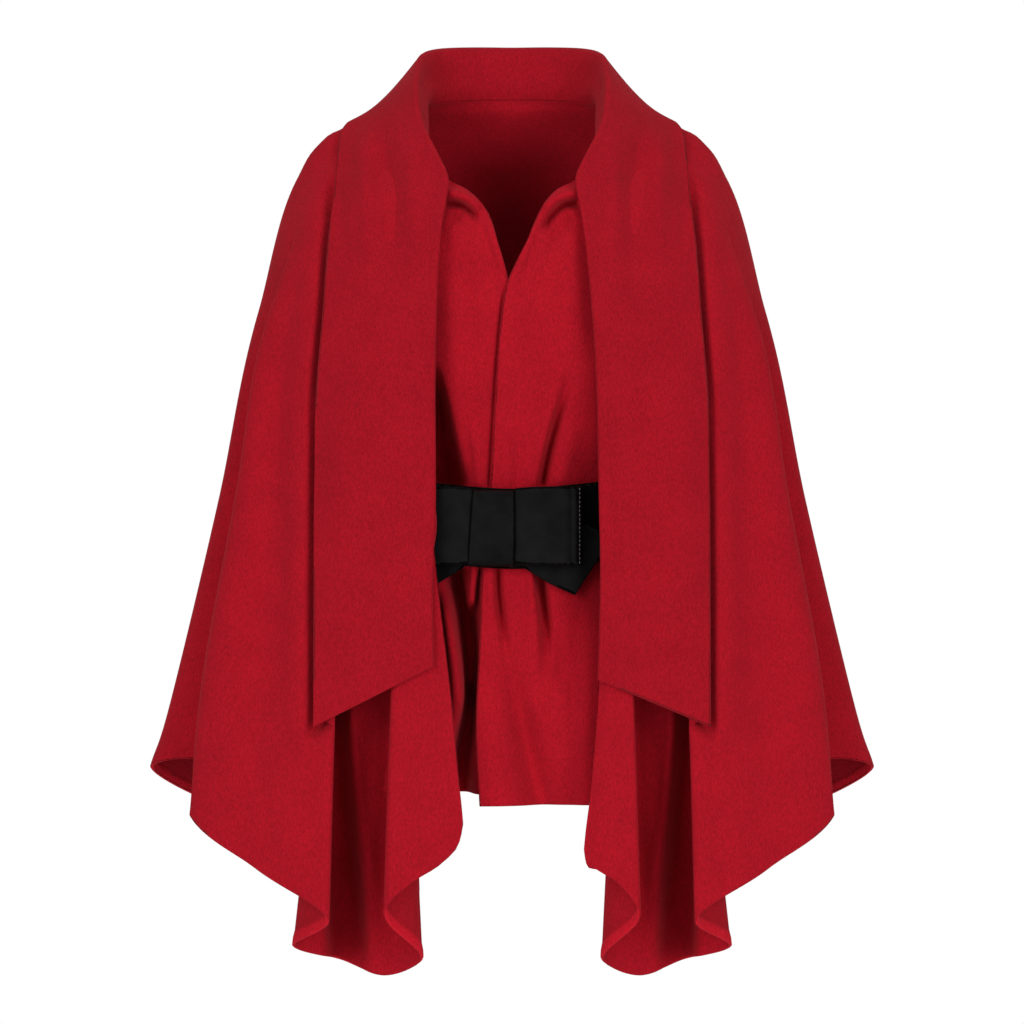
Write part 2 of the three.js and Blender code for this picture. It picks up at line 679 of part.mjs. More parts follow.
function bowLoops() {
  const places = [...LOOP_SECTIONS.map((row) => -row.at).reverse(), ...LOOP_SECTIONS.slice(1).map((row) => row.at)];
  const knots = LOOP_SECTIONS.map((row) => row.at);
  const sizes = LOOP_SECTIONS.map((row) => point(row.thick, row.high, 0));
  const sizeAt = (place) => curveAt(knots, sizes, Math.abs(place));
  const spot = (place, face) => {
    const bend = LOOP_BEND * place * place;
    const back = LOOP_SECTIONS[0].thick;
    const y = LOOP_Y + bend + (face > 0 ? back : back - 2 * sizeAt(place).x);
    return point(BOW_CENTRE_X + BOW_HALF_WIDTH * place, y, BOW_Z + 2.5);
  };
  const front = places.map((place) => ({ p: spot(place, -1), high: sizeAt(place).y }));
  const back = places.slice(1, -1).reverse().map((place) => ({ p: spot(place, 1), high: sizeAt(place).y }));
  const ring = [...front, ...back];
  const centreLine = point(0, 0, 1);
  const points = ring.map((item) => item.p);
  const out = points.map((p, i) => {
    const before = points[(i + points.length - 1) % points.length];
    const after = points[(i + 1) % points.length];
    return after.clone().sub(before).cross(centreLine).normalize();
  });
  // the ring's points are the outer face: the leather lies inside them
  const stations = ring.map((item, i) => ({
    middle: item.p.clone().addScaledVector(out[i], -LEATHER),
    half: point(0, 0, item.high),
    out: out[i],
  }));
  return strapGeometry(stations, LEATHER, true);
}

// Bow tails, from one tip through the knot to the other: upper and lower edge
const TAIL_SECTIONS = table('upperX upperZ lowerX lowerZ', [
  [0, -408, 0, -450],
  [22, -405, 22, -455],
  [30, -398, 30, -467],
  [62, -410, 54, -482],
  [118, -436, 80, -494],
]);

function bowTails() {
  const y = KNOT_Y + KNOT_HALF_DEPTH - 1.2;
  const rows = [...TAIL_SECTIONS.slice(1).reverse().map((row) => ({ ...row, side: -1 })),
    ...TAIL_SECTIONS.map((row) => ({ ...row, side: 1 }))];
  const stations = rows.map((row) => {
    const bend = (x) => LOOP_BEND * (x / BOW_HALF_WIDTH) ** 2;
    const upper = point(BOW_CENTRE_X + row.side * row.upperX, y + bend(row.upperX), row.upperZ);
    const lower = point(BOW_CENTRE_X + row.side * row.lowerX, y + bend(row.lowerX), row.lowerZ);
    return { middle: mix(upper, lower, 0.5), half: upper.sub(lower).multiplyScalar(0.5), out: point(0, -1, 0) };
  });
  return strapGeometry(stations, LEATHER - 0.2, false);
}

// Assembly

function material(colour, roughness) {
  return new THREE.MeshStandardMaterial({ color: colour, roughness, metalness: 0 });
}

const wool = () => material(COLOURS.wool, 0.95);
const leather = () => material(COLOURS.leather, 0.5);

function piece(name, geometry, finish) {
  const mesh = new THREE.Mesh(geometry, finish);
  mesh.name = name;
  return mesh;
}

const cape = new THREE.Group();
cape.add(
  piece('front_right', capePanel(0, SIDE_LINE), wool()),
  piece('front_left', capePanel(LAST_LINE - SIDE_LINE, LAST_LINE), wool()),
  piece('back', capePanel(SIDE_LINE, LAST_LINE - SIDE_LINE), wool()),
  piece('collar_and_lapels', collarBand(), wool()),
  piece('inner_front_right', innerFront(-1), wool()),
  piece('inner_front_left', innerFront(1), wool()),
  piece('belt', belt(), leather()),
  piece('bow_loops', bowLoops(), leather()),
  piece('bow_knot', bowKnot(), leather()),
  piece('bow_tails', bowTails(), leather()),
);

export default cape;
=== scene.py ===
import math

import bmesh
import bpy
import numpy as np
from bpy.props import FloatProperty, FloatVectorProperty, IntProperty, PointerProperty
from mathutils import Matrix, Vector, kdtree


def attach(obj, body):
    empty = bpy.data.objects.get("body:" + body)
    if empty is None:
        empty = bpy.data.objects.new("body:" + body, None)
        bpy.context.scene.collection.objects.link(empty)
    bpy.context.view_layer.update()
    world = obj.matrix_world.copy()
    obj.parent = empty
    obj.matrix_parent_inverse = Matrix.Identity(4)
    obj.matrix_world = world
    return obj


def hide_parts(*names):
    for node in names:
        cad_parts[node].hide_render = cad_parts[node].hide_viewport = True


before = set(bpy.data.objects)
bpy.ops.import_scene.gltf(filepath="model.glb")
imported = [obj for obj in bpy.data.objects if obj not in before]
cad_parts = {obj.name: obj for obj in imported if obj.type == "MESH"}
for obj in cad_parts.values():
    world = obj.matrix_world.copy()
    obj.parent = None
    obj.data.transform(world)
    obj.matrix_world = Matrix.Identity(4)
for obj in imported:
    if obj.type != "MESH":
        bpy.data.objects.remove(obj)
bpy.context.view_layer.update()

bl_info = {
    "name": "Belted wool cape",
    "version": (1, 0, 0),
    "blender": (4, 5, 0),
    "location": "View3D > Sidebar > Cape",
    "description": "Dresses the CAD cape in felted wool and black leather",
    "category": "Object",
}

# Sizes in the tables are millimetres. +X is the viewer's right, -Y the front, +Z up.
MM = 0.001
WOOL = 2.4
LEATHER = 2.0
SEAM_GAP = 0.3
CHEST_LEVEL = -211
WAIST_LEVEL = -400
LOW_LEVEL = -600
BELT_HEIGHT = 79
BELT_MIDDLE = -426
WAIST_HALF_WIDTH = 121
WAIST_FRONT = 97
WAIST_BACK = 84
BOW_CENTRE_X = -18.2
BOW_HALF_WIDTH = 86.5

# Upper rings: front edge x, y, z, shoulder line x, y, z, middle of the back y, z
RINGS = (
    (78, -90, -84, 88, 5, -5, 62, 4),
    (79, -98, -110, 159, 5, -23, 73, -30),
    (80, -107, -142, 203, 5, -62, 99, -80),
    (82, -126, CHEST_LEVEL, 252, 0, CHEST_LEVEL, 122, CHEST_LEVEL),
)
LINE_KNOTS = (0, 0.07, 0.13, 0.27, 0.5, 0.74, 1)

# Fold lines of one half: name, place on the rings, ridge, waist x, y, low x, y, hem x, y, z
FOLD_LINES = (
    ("front edge", 0, 1, 80, -132, 58.5, -142, 47.5, -150, -727),
    ("front strip", 0.035, 1, 91, -135, 77, -147, 66, -155, -754),
    ("box fold, inner ridge", 0.09, 1, 111, -138, 117, -150, 124, -160, -801),
    ("box fold, inner turn", 0.14, 0, 107, -128, 101, -113, 90, -109, -853),
    ("box fold, low corner", 0.18, 0, 126, -124, 123, -99, 126, -84, -869),
    ("box fold, wall", 0.22, 0, 145, -122, 153, -97, 170, -82, -854),
    ("box fold, outer turn", 0.26, 0, 167, -120, 187, -106, 213, -98, -841),
    ("box fold, outer ridge", 0.31, 1, 160, -132, 173, -146, 179, -157, -810),
    ("broad front", 0.5, 1, 213, -108, 236, -124, 250, -138, -761),
    ("side ridge", 0.706, 1, 265, -68, 301, -84, 315, -98, -709),
    ("side valley", 0.85, 0, 269, -40, 302, -50, 311, -56, -658),
    ("side line", 1, 1, 292, -5, 339, -12, 359, -18, -666),
    ("back valley 1", 1.15, 0, 272, 38, 306, 40, 318, 42, -698),
    ("back ridge 1", 1.32, 1, 250, 84, 284, 108, 296, 122, -702),
    ("back valley 2", 1.47, 0, 205, 90, 222, 98, 228, 100, -703),
    ("back ridge 2", 1.62, 1, 158, 128, 171, 158, 176, 174, -704),
    ("back valley 3", 1.76, 0, 108, 124, 110, 136, 110, 140, -702),
    ("back ridge 3", 1.89, 1, 55, 146, 58, 176, 60, 192, -700),
    ("back middle", 2, 0, 0, 138, 0, 154, 0, 160, -698),
)
# What differs on the wearer's left: chest x, waist x, low x, hem x, hem y, hem z
LEFT_CHANGES = {
    "front edge": (86, 91, 84, 70, None, -752),
    "front strip": (94, 99, 92, 82, None, -762),
    "back ridge 1": (None, None, None, 290, 128, None),
    "back valley 2": (None, None, None, 220, 104, None),
    "back ridge 2": (None, None, None, 166, 168, None),
    "back valley 3": (None, None, None, 98, 146, None),
    "back ridge 3": (None, None, None, 50, 186, None),
}
LINE_COUNT = len(FOLD_LINES)
LAST_LINE = 2 * LINE_COUNT - 2
SIDE_LINE = [row[0] for row in FOLD_LINES].index("side line")

# Lapel: roll height, crest x on the wearer's right and left, crest y, free edge x, y, z, how far it
# is sewn there
LAPEL_SECTIONS = (
    (-563, 77, 84.5, -151, 194, -140, -622, 0),
    (-530, 78, 86, -149, 194, -138, -585, 0),
    (-484, 78.5, 87, -145, 194, -132, -522, 0),
    (-450, 77.5, 87, -142, 194, -125, -474, 0.4),
    (-428, 76.5, 86.5, -140, 194, -120, -445, 0.98),
    (-405, 75.5, 86, -137.5, 194, -115, -412, 1),
    (-376, 75.5, 85.5, -136, 193.5, -110, -376, 1),
    (-284, 76, 83.5, -133, 192, -95, -290, 1),
    (-200, 74, 78, -129, 186, -85, -215, 1),
    (-133, 70, 71, -117, 182, -75, -150, 1),
    (-103, 65, 66, -109, 179, -65, -120, 1),
)
LEFT_LAPEL_END = -576
# Collar: place on the neck seam, crest x, y, z, free edge x, y, z, swell
COLLAR_SECTIONS = (
    (0, 62, -103, -86, 177, -55, -101, 2),
    (0.3, 70, -92, -62, 175, -42, -80, 2),
    (0.6, 87, -62, -22, 172, -22, -54, 2),
    (0.85, 94, -30, 14, 168, -6, -36, -2),
    (1, 94, 0, 34, 160, 8, -22, -4),
    (1.2, 91, 25, 47, 146, 42, -22, 0),
    (1.45, 77, 52, 54, 114, 68, -30, 9),
    (1.75, 38, 70, 57, 56, 82, -38, 12),
    (2, 0, 75, 57, 0, 86, -40, 12),
)
COLLAR_CLEAR = 3.1
CREST_EASE = 4.5
NECK_ROUNDING = 3
LAPEL_CLEAR = 3.2
REACH = 18
SEAM_EASE = ((-86, 3.4, 16), (-418, 1.6, 20))
FALL_PLACES = (0.07, 0.2, 0.45, 0.72, 1)

# Inner front: under x, over x, edge y, z, side x, y, z
INNER_SECTIONS = (
    (84, 84, -44, -48, 160, -26, -80),
    (63, 63, -84, -84, 162, -46, -124),
    (41, 41, -93, -97, 156, -50, -150),
    (25, 28, -100, -114, 150, -50, -172),
    (14, 14, -107, -147, 144, -46, -204),
    (3, -4, -113, -185, 139, -38, -240),
    (-8, -12, -116, -235, 134, -28, -280),
    (-8, -16, -110, -300, 128, -16, -320),
    (-6, -19, -101, -352, 123, -8, -358),
    (-4, -21, -97, -386, 121, -5, -386),
    (-4, -28, -97, -466, 121, -5, -466),
    (-2, -32, -106, -541, 138, -8, -541),
    (0, -35.5, -112, -627, 152, -10, -625),
    (0, -32, -114, -701, 160, -10, -697),
)
UNDER_SHORTER = 11
SQUARENESS = 0.6
OVERLAP_STEP = WOOL + 2
INNER_CLEAR = 3.6

# Folds and creases. Each row: side it is seen from, path of (across, height) points, half width at
# its start and end, height (minus is a trough), and the share of its length over which it fades in
# and out. Across is x from the front and back, and y from the right and left. From the top a path
# has (x, y) points.
# From STEEP on a fold has steep walls and a flat bottom.
STEEP = 12
FRONT_RIGHT_FOLDS = (
    ("front", ((-228, -180), (-236, -330), (-240, -480), (-246, -700)), 16, 24, -2.2, 0.4, 0.3),
    ("front", ((-212, -130), (-226, -210), (-246, -330)), 11, 17, 1.7, 0.4, 0.5),
    ("top", ((-168, 4), (-190, 2), (-214, 0)), 20, 26, 3.5, 0.3, 0.4),
    ("front", ((-212, -300), (-214, -420), (-218, -600), (-222, -800)), 10, 19, 1.3, 0.4, 0.05),
    ("front", ((-262, -520), (-272, -620), (-284, -760)), 12, 21, 1.7, 0.5, 0.05),
    ("front", ((-186, -560), (-192, -660), (-200, -800)), 8, 12, -1.8, 0.4, 0.2),
    ("front", ((-92, -590), (-98, -690), (-104, -800)), 9, 16, -2.2, 0.4, 0.1),
    ("front", ((-134, -640), (-140, -760), (-146, -880)), 8, 13, 3, 0.4, 0.1),
    ("right", ((-12, -260), (-22, -420), (-30, -700)), 8, 13, 2.2, 0.4, 0.1),
)
FRONT_LEFT_FOLDS = (
    ("front", ((226, -170), (235, -320), (243, -500), (248, -720)), 15, 24, -2, 0.4, 0.3),
    ("front", ((213, -134), (228, -220), (244, -300)), 11, 16, 1.7, 0.4, 0.5),
    ("top", ((168, 4), (190, 2), (214, 0)), 20, 26, 3.5, 0.3, 0.4),
    ("front", ((216, -350), (218, -450), (224, -620), (228, -800)), 10, 18, 1.2, 0.4, 0.05),
    ("front", ((258, -480), (270, -600), (286, -760)), 12, 20, 1.6, 0.5, 0.05),
    ("front", ((188, -590), (196, -680), (204, -800)), 8, 12, -1.8, 0.4, 0.2),
    ("front", ((100, -600), (106, -700), (110, -800)), 9, 16, -2, 0.4, 0.1),
    ("front", ((136, -660), (140, -770), (150, -880)), 8, 13, 2.8, 0.4, 0.1),
    ("left", ((-14, -220), (-20, -400), (-28, -700)), 8, 13, 2, 0.4, 0.1),
)
# Folds inside the deep box fold, seen between its two ridges
RECESS_FOLDS = (
    ("front", ((-173, -560), (-172, -640), (-169, -700), (-166, -755), (-160, -880)),
     9, 19, -44, 0.15, 0.2),
    ("front", ((-160, -560), (-158, -640), (-150, -700), (-140, -755), (-133, -820)),
     6, 6, 5, 0.15, 0.3),
    ("front", ((-122, -560), (-123, -700), (-126, -820)), 8, 9, -7, 0.15, 0.3),
    ("front", ((173, -570), (172, -640), (169, -700), (166, -755), (161, -880)), 9, 18, -44, 0.15, 0.2),
    ("front", ((161, -570), (158, -640), (151, -700), (142, -755), (135, -820)), 6, 6, 5, 0.15, 0.3),
    ("front", ((122, -570), (124, -700), (128, -820)), 8, 9, -7, 0.15, 0.3),
)
BACK_FOLDS = (
    ("back", ((-20, -90), (-30, -260), (-34, -430), (-36, -720)), 12, 20, -3, 0.4, 0.1),
    ("back", ((28, -120), (30, -300), (28, -500), (24, -720)), 12, 18, -2.6, 0.4, 0.1),
    ("back", ((-88, -60), (-92, -200), (-86, -420), (-84, -600)), 10, 16, 2.8, 0.3, 0.5),
    ("back", ((82, -70), (90, -240), (80, -420), (76, -720)), 11, 17, 2.4, 0.3, 0.2),
    ("back", ((-140, -120), (-138, -330), (-140, -520), (-142, -720)), 9, 15, -2.6, 0.4, 0.1),
    ("back", ((136, -90), (134, -260), (136, -460)), 10, 15, -2.8, 0.4, 0.4),
    ("back", ((-196, -110), (-198, -260), (-200, -420), (-206, -720)), 10, 17, 2.6, 0.4, 0.1),
    ("back", ((192, -130), (196, -300), (196, -520), (198, -720)), 9, 16, 2.4, 0.4, 0.1),
    ("back", ((-240, -230), (-252, -400), (-262, -560), (-268, -720)), 10, 16, -2.8, 0.4, 0.1),
    ("back", ((236, -200), (250, -360), (258, -540), (262, -720)), 9, 15, -2.4, 0.4, 0.1),
    ("right", ((36, -180), (42, -360), (60, -540), (70, -720)), 9, 14, 2.4, 0.4, 0.1),
    ("left", ((34, -160), (46, -380), (62, -560), (74, -720)), 9, 14, 2.6, 0.4, 0.1),
    ("back", ((-66, -20), (-40, -52), (0, -62), (46, -50)), 9, 9, -1.6, 0.4, 0.4),
)
BAND_FOLDS = (
    ("front", ((-130, -10), (-128, -60), (-122, -120), (-118, -200), (-117, -300)),
     12, 17, -7, 0.25, 0.85),
    ("front", ((-148, -10), (-146, -60), (-141, -120), (-139, -240)), 9, 12, 5, 0.3, 0.8),
    ("front", ((-178, -40), (-172, -100), (-166, -170)), 5, 7, -3, 0.3, 0.5),
    ("front", ((-100, -20), (-98, -90), (-97, -150), (-100, -220)), 7, 9, 2.8, 0.4, 0.5),
    ("front", ((129, -10), (128, -60), (123, -120), (120, -190), (121, -290)),
     12, 16, -6.6, 0.25, 0.85),
    ("front", ((146, -10), (146, -60), (143, -120), (143, -240)), 9, 12, 5, 0.3, 0.8),
    ("front", ((177, -44), (172, -110), (168, -180)), 5, 7, -2.8, 0.3, 0.5),
    ("front", ((100, -20), (101, -90), (102, -150), (105, -230)), 7, 9, 2.6, 0.4, 0.5),
    ("front", ((-128, -340), (-132, -430), (-140, -540)), 16, 20, -1.8, 0.4, 0.3),
    ("front", ((134, -300), (136, -420), (146, -520)), 16, 20, -1.6, 0.4, 0.3),
    ("front", ((-110, -430), (-112, -500), (-120, -600)), 9, 12, 1.4, 0.4, 0.1),
    ("back", ((-70, 50), (-78, 20), (-92, -30)), 8, 11, -2.4, 0.3, 0.2),
    ("back", ((62, 52), (72, 20), (82, -34)), 8, 11, -2, 0.3, 0.2),
    ("back", ((-24, 54), (-22, 20), (-26, -38)), 10, 13, 1.6, 0.3, 0.1),
    ("front", ((-91, 17), (-92, 10)), 4, 4, -2, 0.2, 0.2),
    ("front", ((-59, 20), (-60, 12)), 3.5, 3.5, -2.2, 0.2, 0.2),
    ("front", ((59, 18), (60, 12)), 3.5, 3.5, -2.2, 0.2, 0.2),
    ("front", ((91, 17), (92, 10)), 4, 4, -2, 0.2, 0.2),
)
UNDER_FOLDS = (
    ("front", ((-67, -392), (-71, -350), (-74, -310), (-78, -265)), 20, 5, -55, 0.02, 0.3),
    ("front", ((-66, -97), (-48, -101), (-38, -108), (-29, -119)), 5, 4, 9, 0.02, 0.3),
    ("front", ((-66, -108), (-49, -110), (-40, -116), (-33, -127)), 4.5, 3.5, -15, 0.02, 0.4),
    ("front", ((-60, -120), (-48, -124)), 9, 8, -5, 0.1, 0.3),
    ("front", ((-27, -120), (-17, -149), (-6, -184)), 4, 3, 4, 0.2, 0.3),
    ("front", ((-6, -190), (-12, -240), (-17, -300), (-20, -352), (-22, -392)), 3, 3, -5, 0.1, 0.02),
    ("front", ((-31, -392), (-34, -356), (-41, -310)), 5, 6, 4, 0.1, 0.5),
    ("front", ((-66, -130), (-58, -170), (-44, -230)), 9, 12, -2.4, 0.3, 0.5),
    ("front", ((-40, -130), (-34, -180), (-26, -250)), 7, 9, 1.6, 0.3, 0.5),
    ("front", ((-50, -462), (-45, -515), (-41, -555), (-40, -610)), 17, 6, -60, 0.02, 0.2),
    ("front", ((-40, -572), (-42, -610), (-50, -660), (-52, -720)), 6, 15, -60, 0.2, 0.02),
    ("front", ((-66, -480), (-59, -540), (-54, -590), (-55, -625)), 6, 7, 22, 0.3, 0.25),
    ("front", ((-41, -462), (-41, -480), (-40, -514)), 8, 2.5, 56, 0.02, 0.3),
)
OVER_FOLDS = (
    ("front", ((28, -392), (35, -356), (46, -315), (62, -262)), 5, 5, -16, 0.02, 0.6),
    ("front", ((22, -392), (27, -362), (36, -325), (48, -285)), 4, 5, 4, 0.02, 0.6),
    ("front", ((44, -392), (54, -355), (66, -310)), 7, 9, 4, 0.05, 0.5),
    ("front", ((66, -97), (48, -101), (38, -108), (28, -121)), 5, 4, 9, 0.02, 0.3),
    ("front", ((66, -108), (50, -110), (40, -119), (28, -140)), 4.5, 4, -15, 0.02, 0.4),
    ("front", ((60, -120), (46, -131), (36, -150)), 8, 7, -5, 0.1, 0.4),
    ("front", ((26, -124), (14, -153), (4, -184)), 4, 3, 4, 0.2, 0.3),
    ("front", ((6, -392), (6, -350), (10, -300)), 5, 7, -3, 0.05, 0.6),
    ("front", ((-4, -392), (-6, -350), (-4, -290)), 5, 6, 2, 0.05, 0.6),
    ("front", ((58, -123), (46, -143), (30, -163)), 6, 5, -3, 0.2, 0.5),
    ("front", ((62, -130), (54, -200), (50, -270)), 9, 14, 1.8, 0.4, 0.5),
    ("front", ((82, -220), (84, -300), (86, -378)), 15, 17, 11, 0.4, 0.3),
    ("front", ((86, -480), (85, -580), (84, -720)), 18, 22, 17, 0.4, 0.02),
    ("front", ((27, -462), (29, -490), (32, -515), (33, -550), (32, -590)), 6.5, 6, -24, 0.02, 0.8),
    ("front", ((40, -510), (45, -550), (48, -600)), 6, 10, -6, 0.3, 0.5),
    ("front", ((20, -462), (22, -500), (26, -560)), 6, 8, 5, 0.02, 0.5),
    ("front", ((-14, -462), (-13, -490), (-9, -525), (-2, -580)), 4, 5, -13, 0.02, 0.7),
    ("front", ((-21, -462), (-21, -490), (-24, -530)), 4, 5, 3, 0.02, 0.5),
    ("front", ((-4, -540), (6, -610), (18, -670), (32, -720)), 12, 15, -11.5, 0.35, 0.05),
    ("front", ((4, -580), (15, -630), (28, -680), (42, -720)), 11, 14, -9, 0.35, 0.05),
    ("front", ((-24, -600), (-18, -660), (-10, -720)), 10, 12, 3, 0.3, 0.05),
    ("front", ((42, -560), (50, -610), (60, -690)), 10, 14, 5, 0.3, 0.3),
)


def smooth_curve(knots, points, places):
    """Smooth curve through points at rising knots, read at the given places"""
    knots = np.asarray(knots, float)
    points = np.asarray(points, float)
    places = np.asarray(places, float)
    gaps = np.diff(knots)[:, None]
    slopes = np.diff(points, axis=0) / gaps
    tangents = np.empty_like(points)
    tangents[0] = slopes[0]
    tangents[-1] = slopes[-1]
    tangents[1:-1] = (slopes[:-1] * gaps[1:] + slopes[1:] * gaps[:-1]) / (gaps[1:] + gaps[:-1])
    i = np.clip(np.searchsorted(knots, places, side="left") - 1, 0, len(knots) - 2)
    h = gaps[i]
    s = (places[:, None] - knots[i][:, None]) / h
    return (
        points[i] * (2 * s**3 - 3 * s**2 + 1)
        + tangents[i] * h * (s**3 - 2 * s**2 + s)
        + points[i + 1] * (3 * s**2 - 2 * s**3)
        + tangents[i + 1] * h * (s**3 - s**2)
    )


def chord_knots(points):
    steps = np.maximum(np.linalg.norm(np.diff(points, axis=0), axis=1), 0.01)
    return np.concatenate([[0], np.cumsum(steps)])


def smooth_step(start, end, value):
    t = np.clip((value - start) / (end - start), 0, 1)
    return t * t * (3 - 2 * t)


def unit(vectors):
    return vectors / np.maximum(np.linalg.norm(vectors, axis=-1, keepdims=True), 1e-9)


def ring_point(ring, at):
    front_x, front_y, front_z, side_x, side_y, side_z, back_y, back_z = ring
    across = math.sin(at * math.pi / 2)
    along = abs(math.cos(at * math.pi / 2))
    start_x, end_y, end_z = (front_x, front_y, front_z) if at <= 1 else (0, back_y, back_z)
    return (
        start_x + (side_x - start_x) * across,
        side_y + (end_y - side_y) * along,
        side_z + (end_z - side_z) * along,
    )


def fold_line(row, side):
    """Points of one fold line, neck to hem, at +X (side 1) or -X (side -1)"""
    name, at, _, waist_x, waist_y, low_x, low_y, hem_x, hem_y, hem_z = row
    chest_x = None
    if side > 0 and name in LEFT_CHANGES:
        chest_x, *changes = LEFT_CHANGES[name]
        values = (waist_x, low_x, hem_x, hem_y, hem_z)
        waist_x, low_x, hem_x, hem_y, hem_z = (
            value if change is None else change for change, value in zip(changes, values)
        )
    points = [ring_point(ring, at) for ring in RINGS]
    if chest_x is not None:
        points[-1] = (chest_x, *points[-1][1:])
    points += [(waist_x, waist_y, WAIST_LEVEL), (low_x, low_y, LOW_LEVEL), (hem_x, hem_y, hem_z)]
    return np.array(points, float) * (side, 1, 1)


class DrapedSurface:
    """Surface through fold lines: u counts lines, v runs from the neck (0) to the hem (1)"""

    def __init__(self, rows):
        right = [fold_line(row, -1) for row in rows]
        left = [fold_line(row, 1) for row in rows][::-1]
        self.lines = right + (left[1:] if rows[-1][1] == 2 else left)

    def grid(self, u, v):
        u = np.asarray(u, float)
        lines = np.stack([smooth_curve(LINE_KNOTS, line, v) for line in self.lines], axis=1)
        first = np.clip(np.floor(u).astype(int), 0, len(self.lines) - 2)
        rows = []
        for row in lines:
            knots = chord_knots(row)
            places = knots[first] + (knots[first + 1] - knots[first]) * (u - first)
            rows.append(smooth_curve(knots, row, places))
        return np.array(rows)

    def point(self, u, v):
        return self.grid([u], np.array([v]))[0, 0]

    def normal(self, u, v):
        last = len(self.lines) - 1
        a = self.point(min(last, u + 0.02), v) - self.point(max(0, u - 0.02), v)
        b = self.point(u, min(1, v + 0.004)) - self.point(u, max(0, v - 0.004))
        return unit(np.cross(a, b))


CAPE = DrapedSurface(FOLD_LINES)
ENVELOPE = DrapedSurface([row for row in FOLD_LINES if row[2]])


def grid_normals(grid, wrap=False):
    """Normals of a grid, outward where its columns run like the cape's and its rows run down"""
    if wrap:
        padded = np.concatenate([grid[-1:], grid, grid[:1]])
        down = padded[2:] - padded[:-2]
    else:
        down = np.gradient(grid, axis=0)
    return unit(np.cross(np.gradient(grid, axis=1), down))


def path_places(flat, path):
    """Distance from a smooth path in a plane, and how far along it (0 to 1), for each point"""
    path = np.array(path, float)
    knots = chord_knots(path)
    path = smooth_curve(knots, path, np.linspace(0, knots[-1], 14))
    marks = chord_knots(path)
    nearest = np.full(flat.shape[:-1], np.inf)
    along = np.zeros(flat.shape[:-1])
    for k, span in enumerate(np.diff(path, axis=0)):
        off = flat - path[k]
        length = max(np.hypot(*span), 1e-6)
        t = np.clip(off @ span / length**2, 0, 1)
        distance = np.linalg.norm(off - t[..., None] * span, axis=-1)
        closer = distance < nearest
        nearest = np.where(closer, distance, nearest)
        along = np.where(closer, (marks[k] + t * length) / marks[-1], along)
    return nearest, along


VIEWS = {
    "front": ((0, 2), (0, -1, 0)),
    "back": ((0, 2), (0, 1, 0)),
    "right": ((1, 2), (-1, 0, 0)),
    "left": ((1, 2), (1, 0, 0)),
    "top": ((0, 1), (0, 0, 1)),
}


def fold_lift(grid, normals, folds, strength=1.0):
    """Height that a table of folds adds at each point of a grid"""
    lift = np.zeros(grid.shape[:-1])
    for view, path, start_width, end_width, height, fade_in, fade_out in folds:
        axes, toward = VIEWS[view]
        distance, along = path_places(grid[..., axes], path)
        width = start_width + (end_width - start_width) * along
        shown = smooth_step(0.05, 0.4, normals @ np.array(toward, float))
        fade = smooth_step(0, max(fade_in, 0.01), along) * smooth_step(0, max(fade_out, 0.01), 1 - along)
        power = 4 if abs(height) >= STEEP else 2
        lift += strength * height * shown * fade * np.exp(-((distance / width) ** power))
    return lift


def soften(grid, passes):
    """Evens out a grid a little, with its borders held"""
    for _ in range(passes):
        inner = grid[1:-1, 1:-1]
        around = grid[:-2, 1:-1] + grid[2:, 1:-1] + grid[1:-1, :-2] + grid[1:-1, 2:]
        grid = grid.copy()
        grid[1:-1, 1:-1] = inner * 0.5 + around * 0.125
    return grid


def lap_seams(grid, columns):
    """Laps the first and last column over their seams by a hair, so no light shows through"""
    grid = grid.copy()
    if columns[0]:
        grid[:, 0] -= unit(grid[:, 1] - grid[:, 0]) * SEAM_LAP
    if columns[1]:
        grid[:, -1] -= unit(grid[:, -2] - grid[:, -1]) * SEAM_LAP
    return grid


EDGE_SHARE = 0.3


def edge_supports(values, wrap):
    """Adds a row and a column close beside each free edge, so that a rim stays narrow"""

    def both_ends(values):
        first = values[:1] * (1 - EDGE_SHARE) + values[1:2] * EDGE_SHARE
        last = values[-1:] * (1 - EDGE_SHARE) + values[-2:-1] * EDGE_SHARE
        return np.concatenate([values[:1], first, values[1:-1], last, values[-1:]])

    values = np.swapaxes(both_ends(np.swapaxes(values, 0, 1)), 0, 1)
    return values if wrap else both_ends(values)


def running_length(points):
    steps = np.linalg.norm(np.diff(points, axis=0), axis=1)
    return np.concatenate([[0], np.cumsum(steps)])


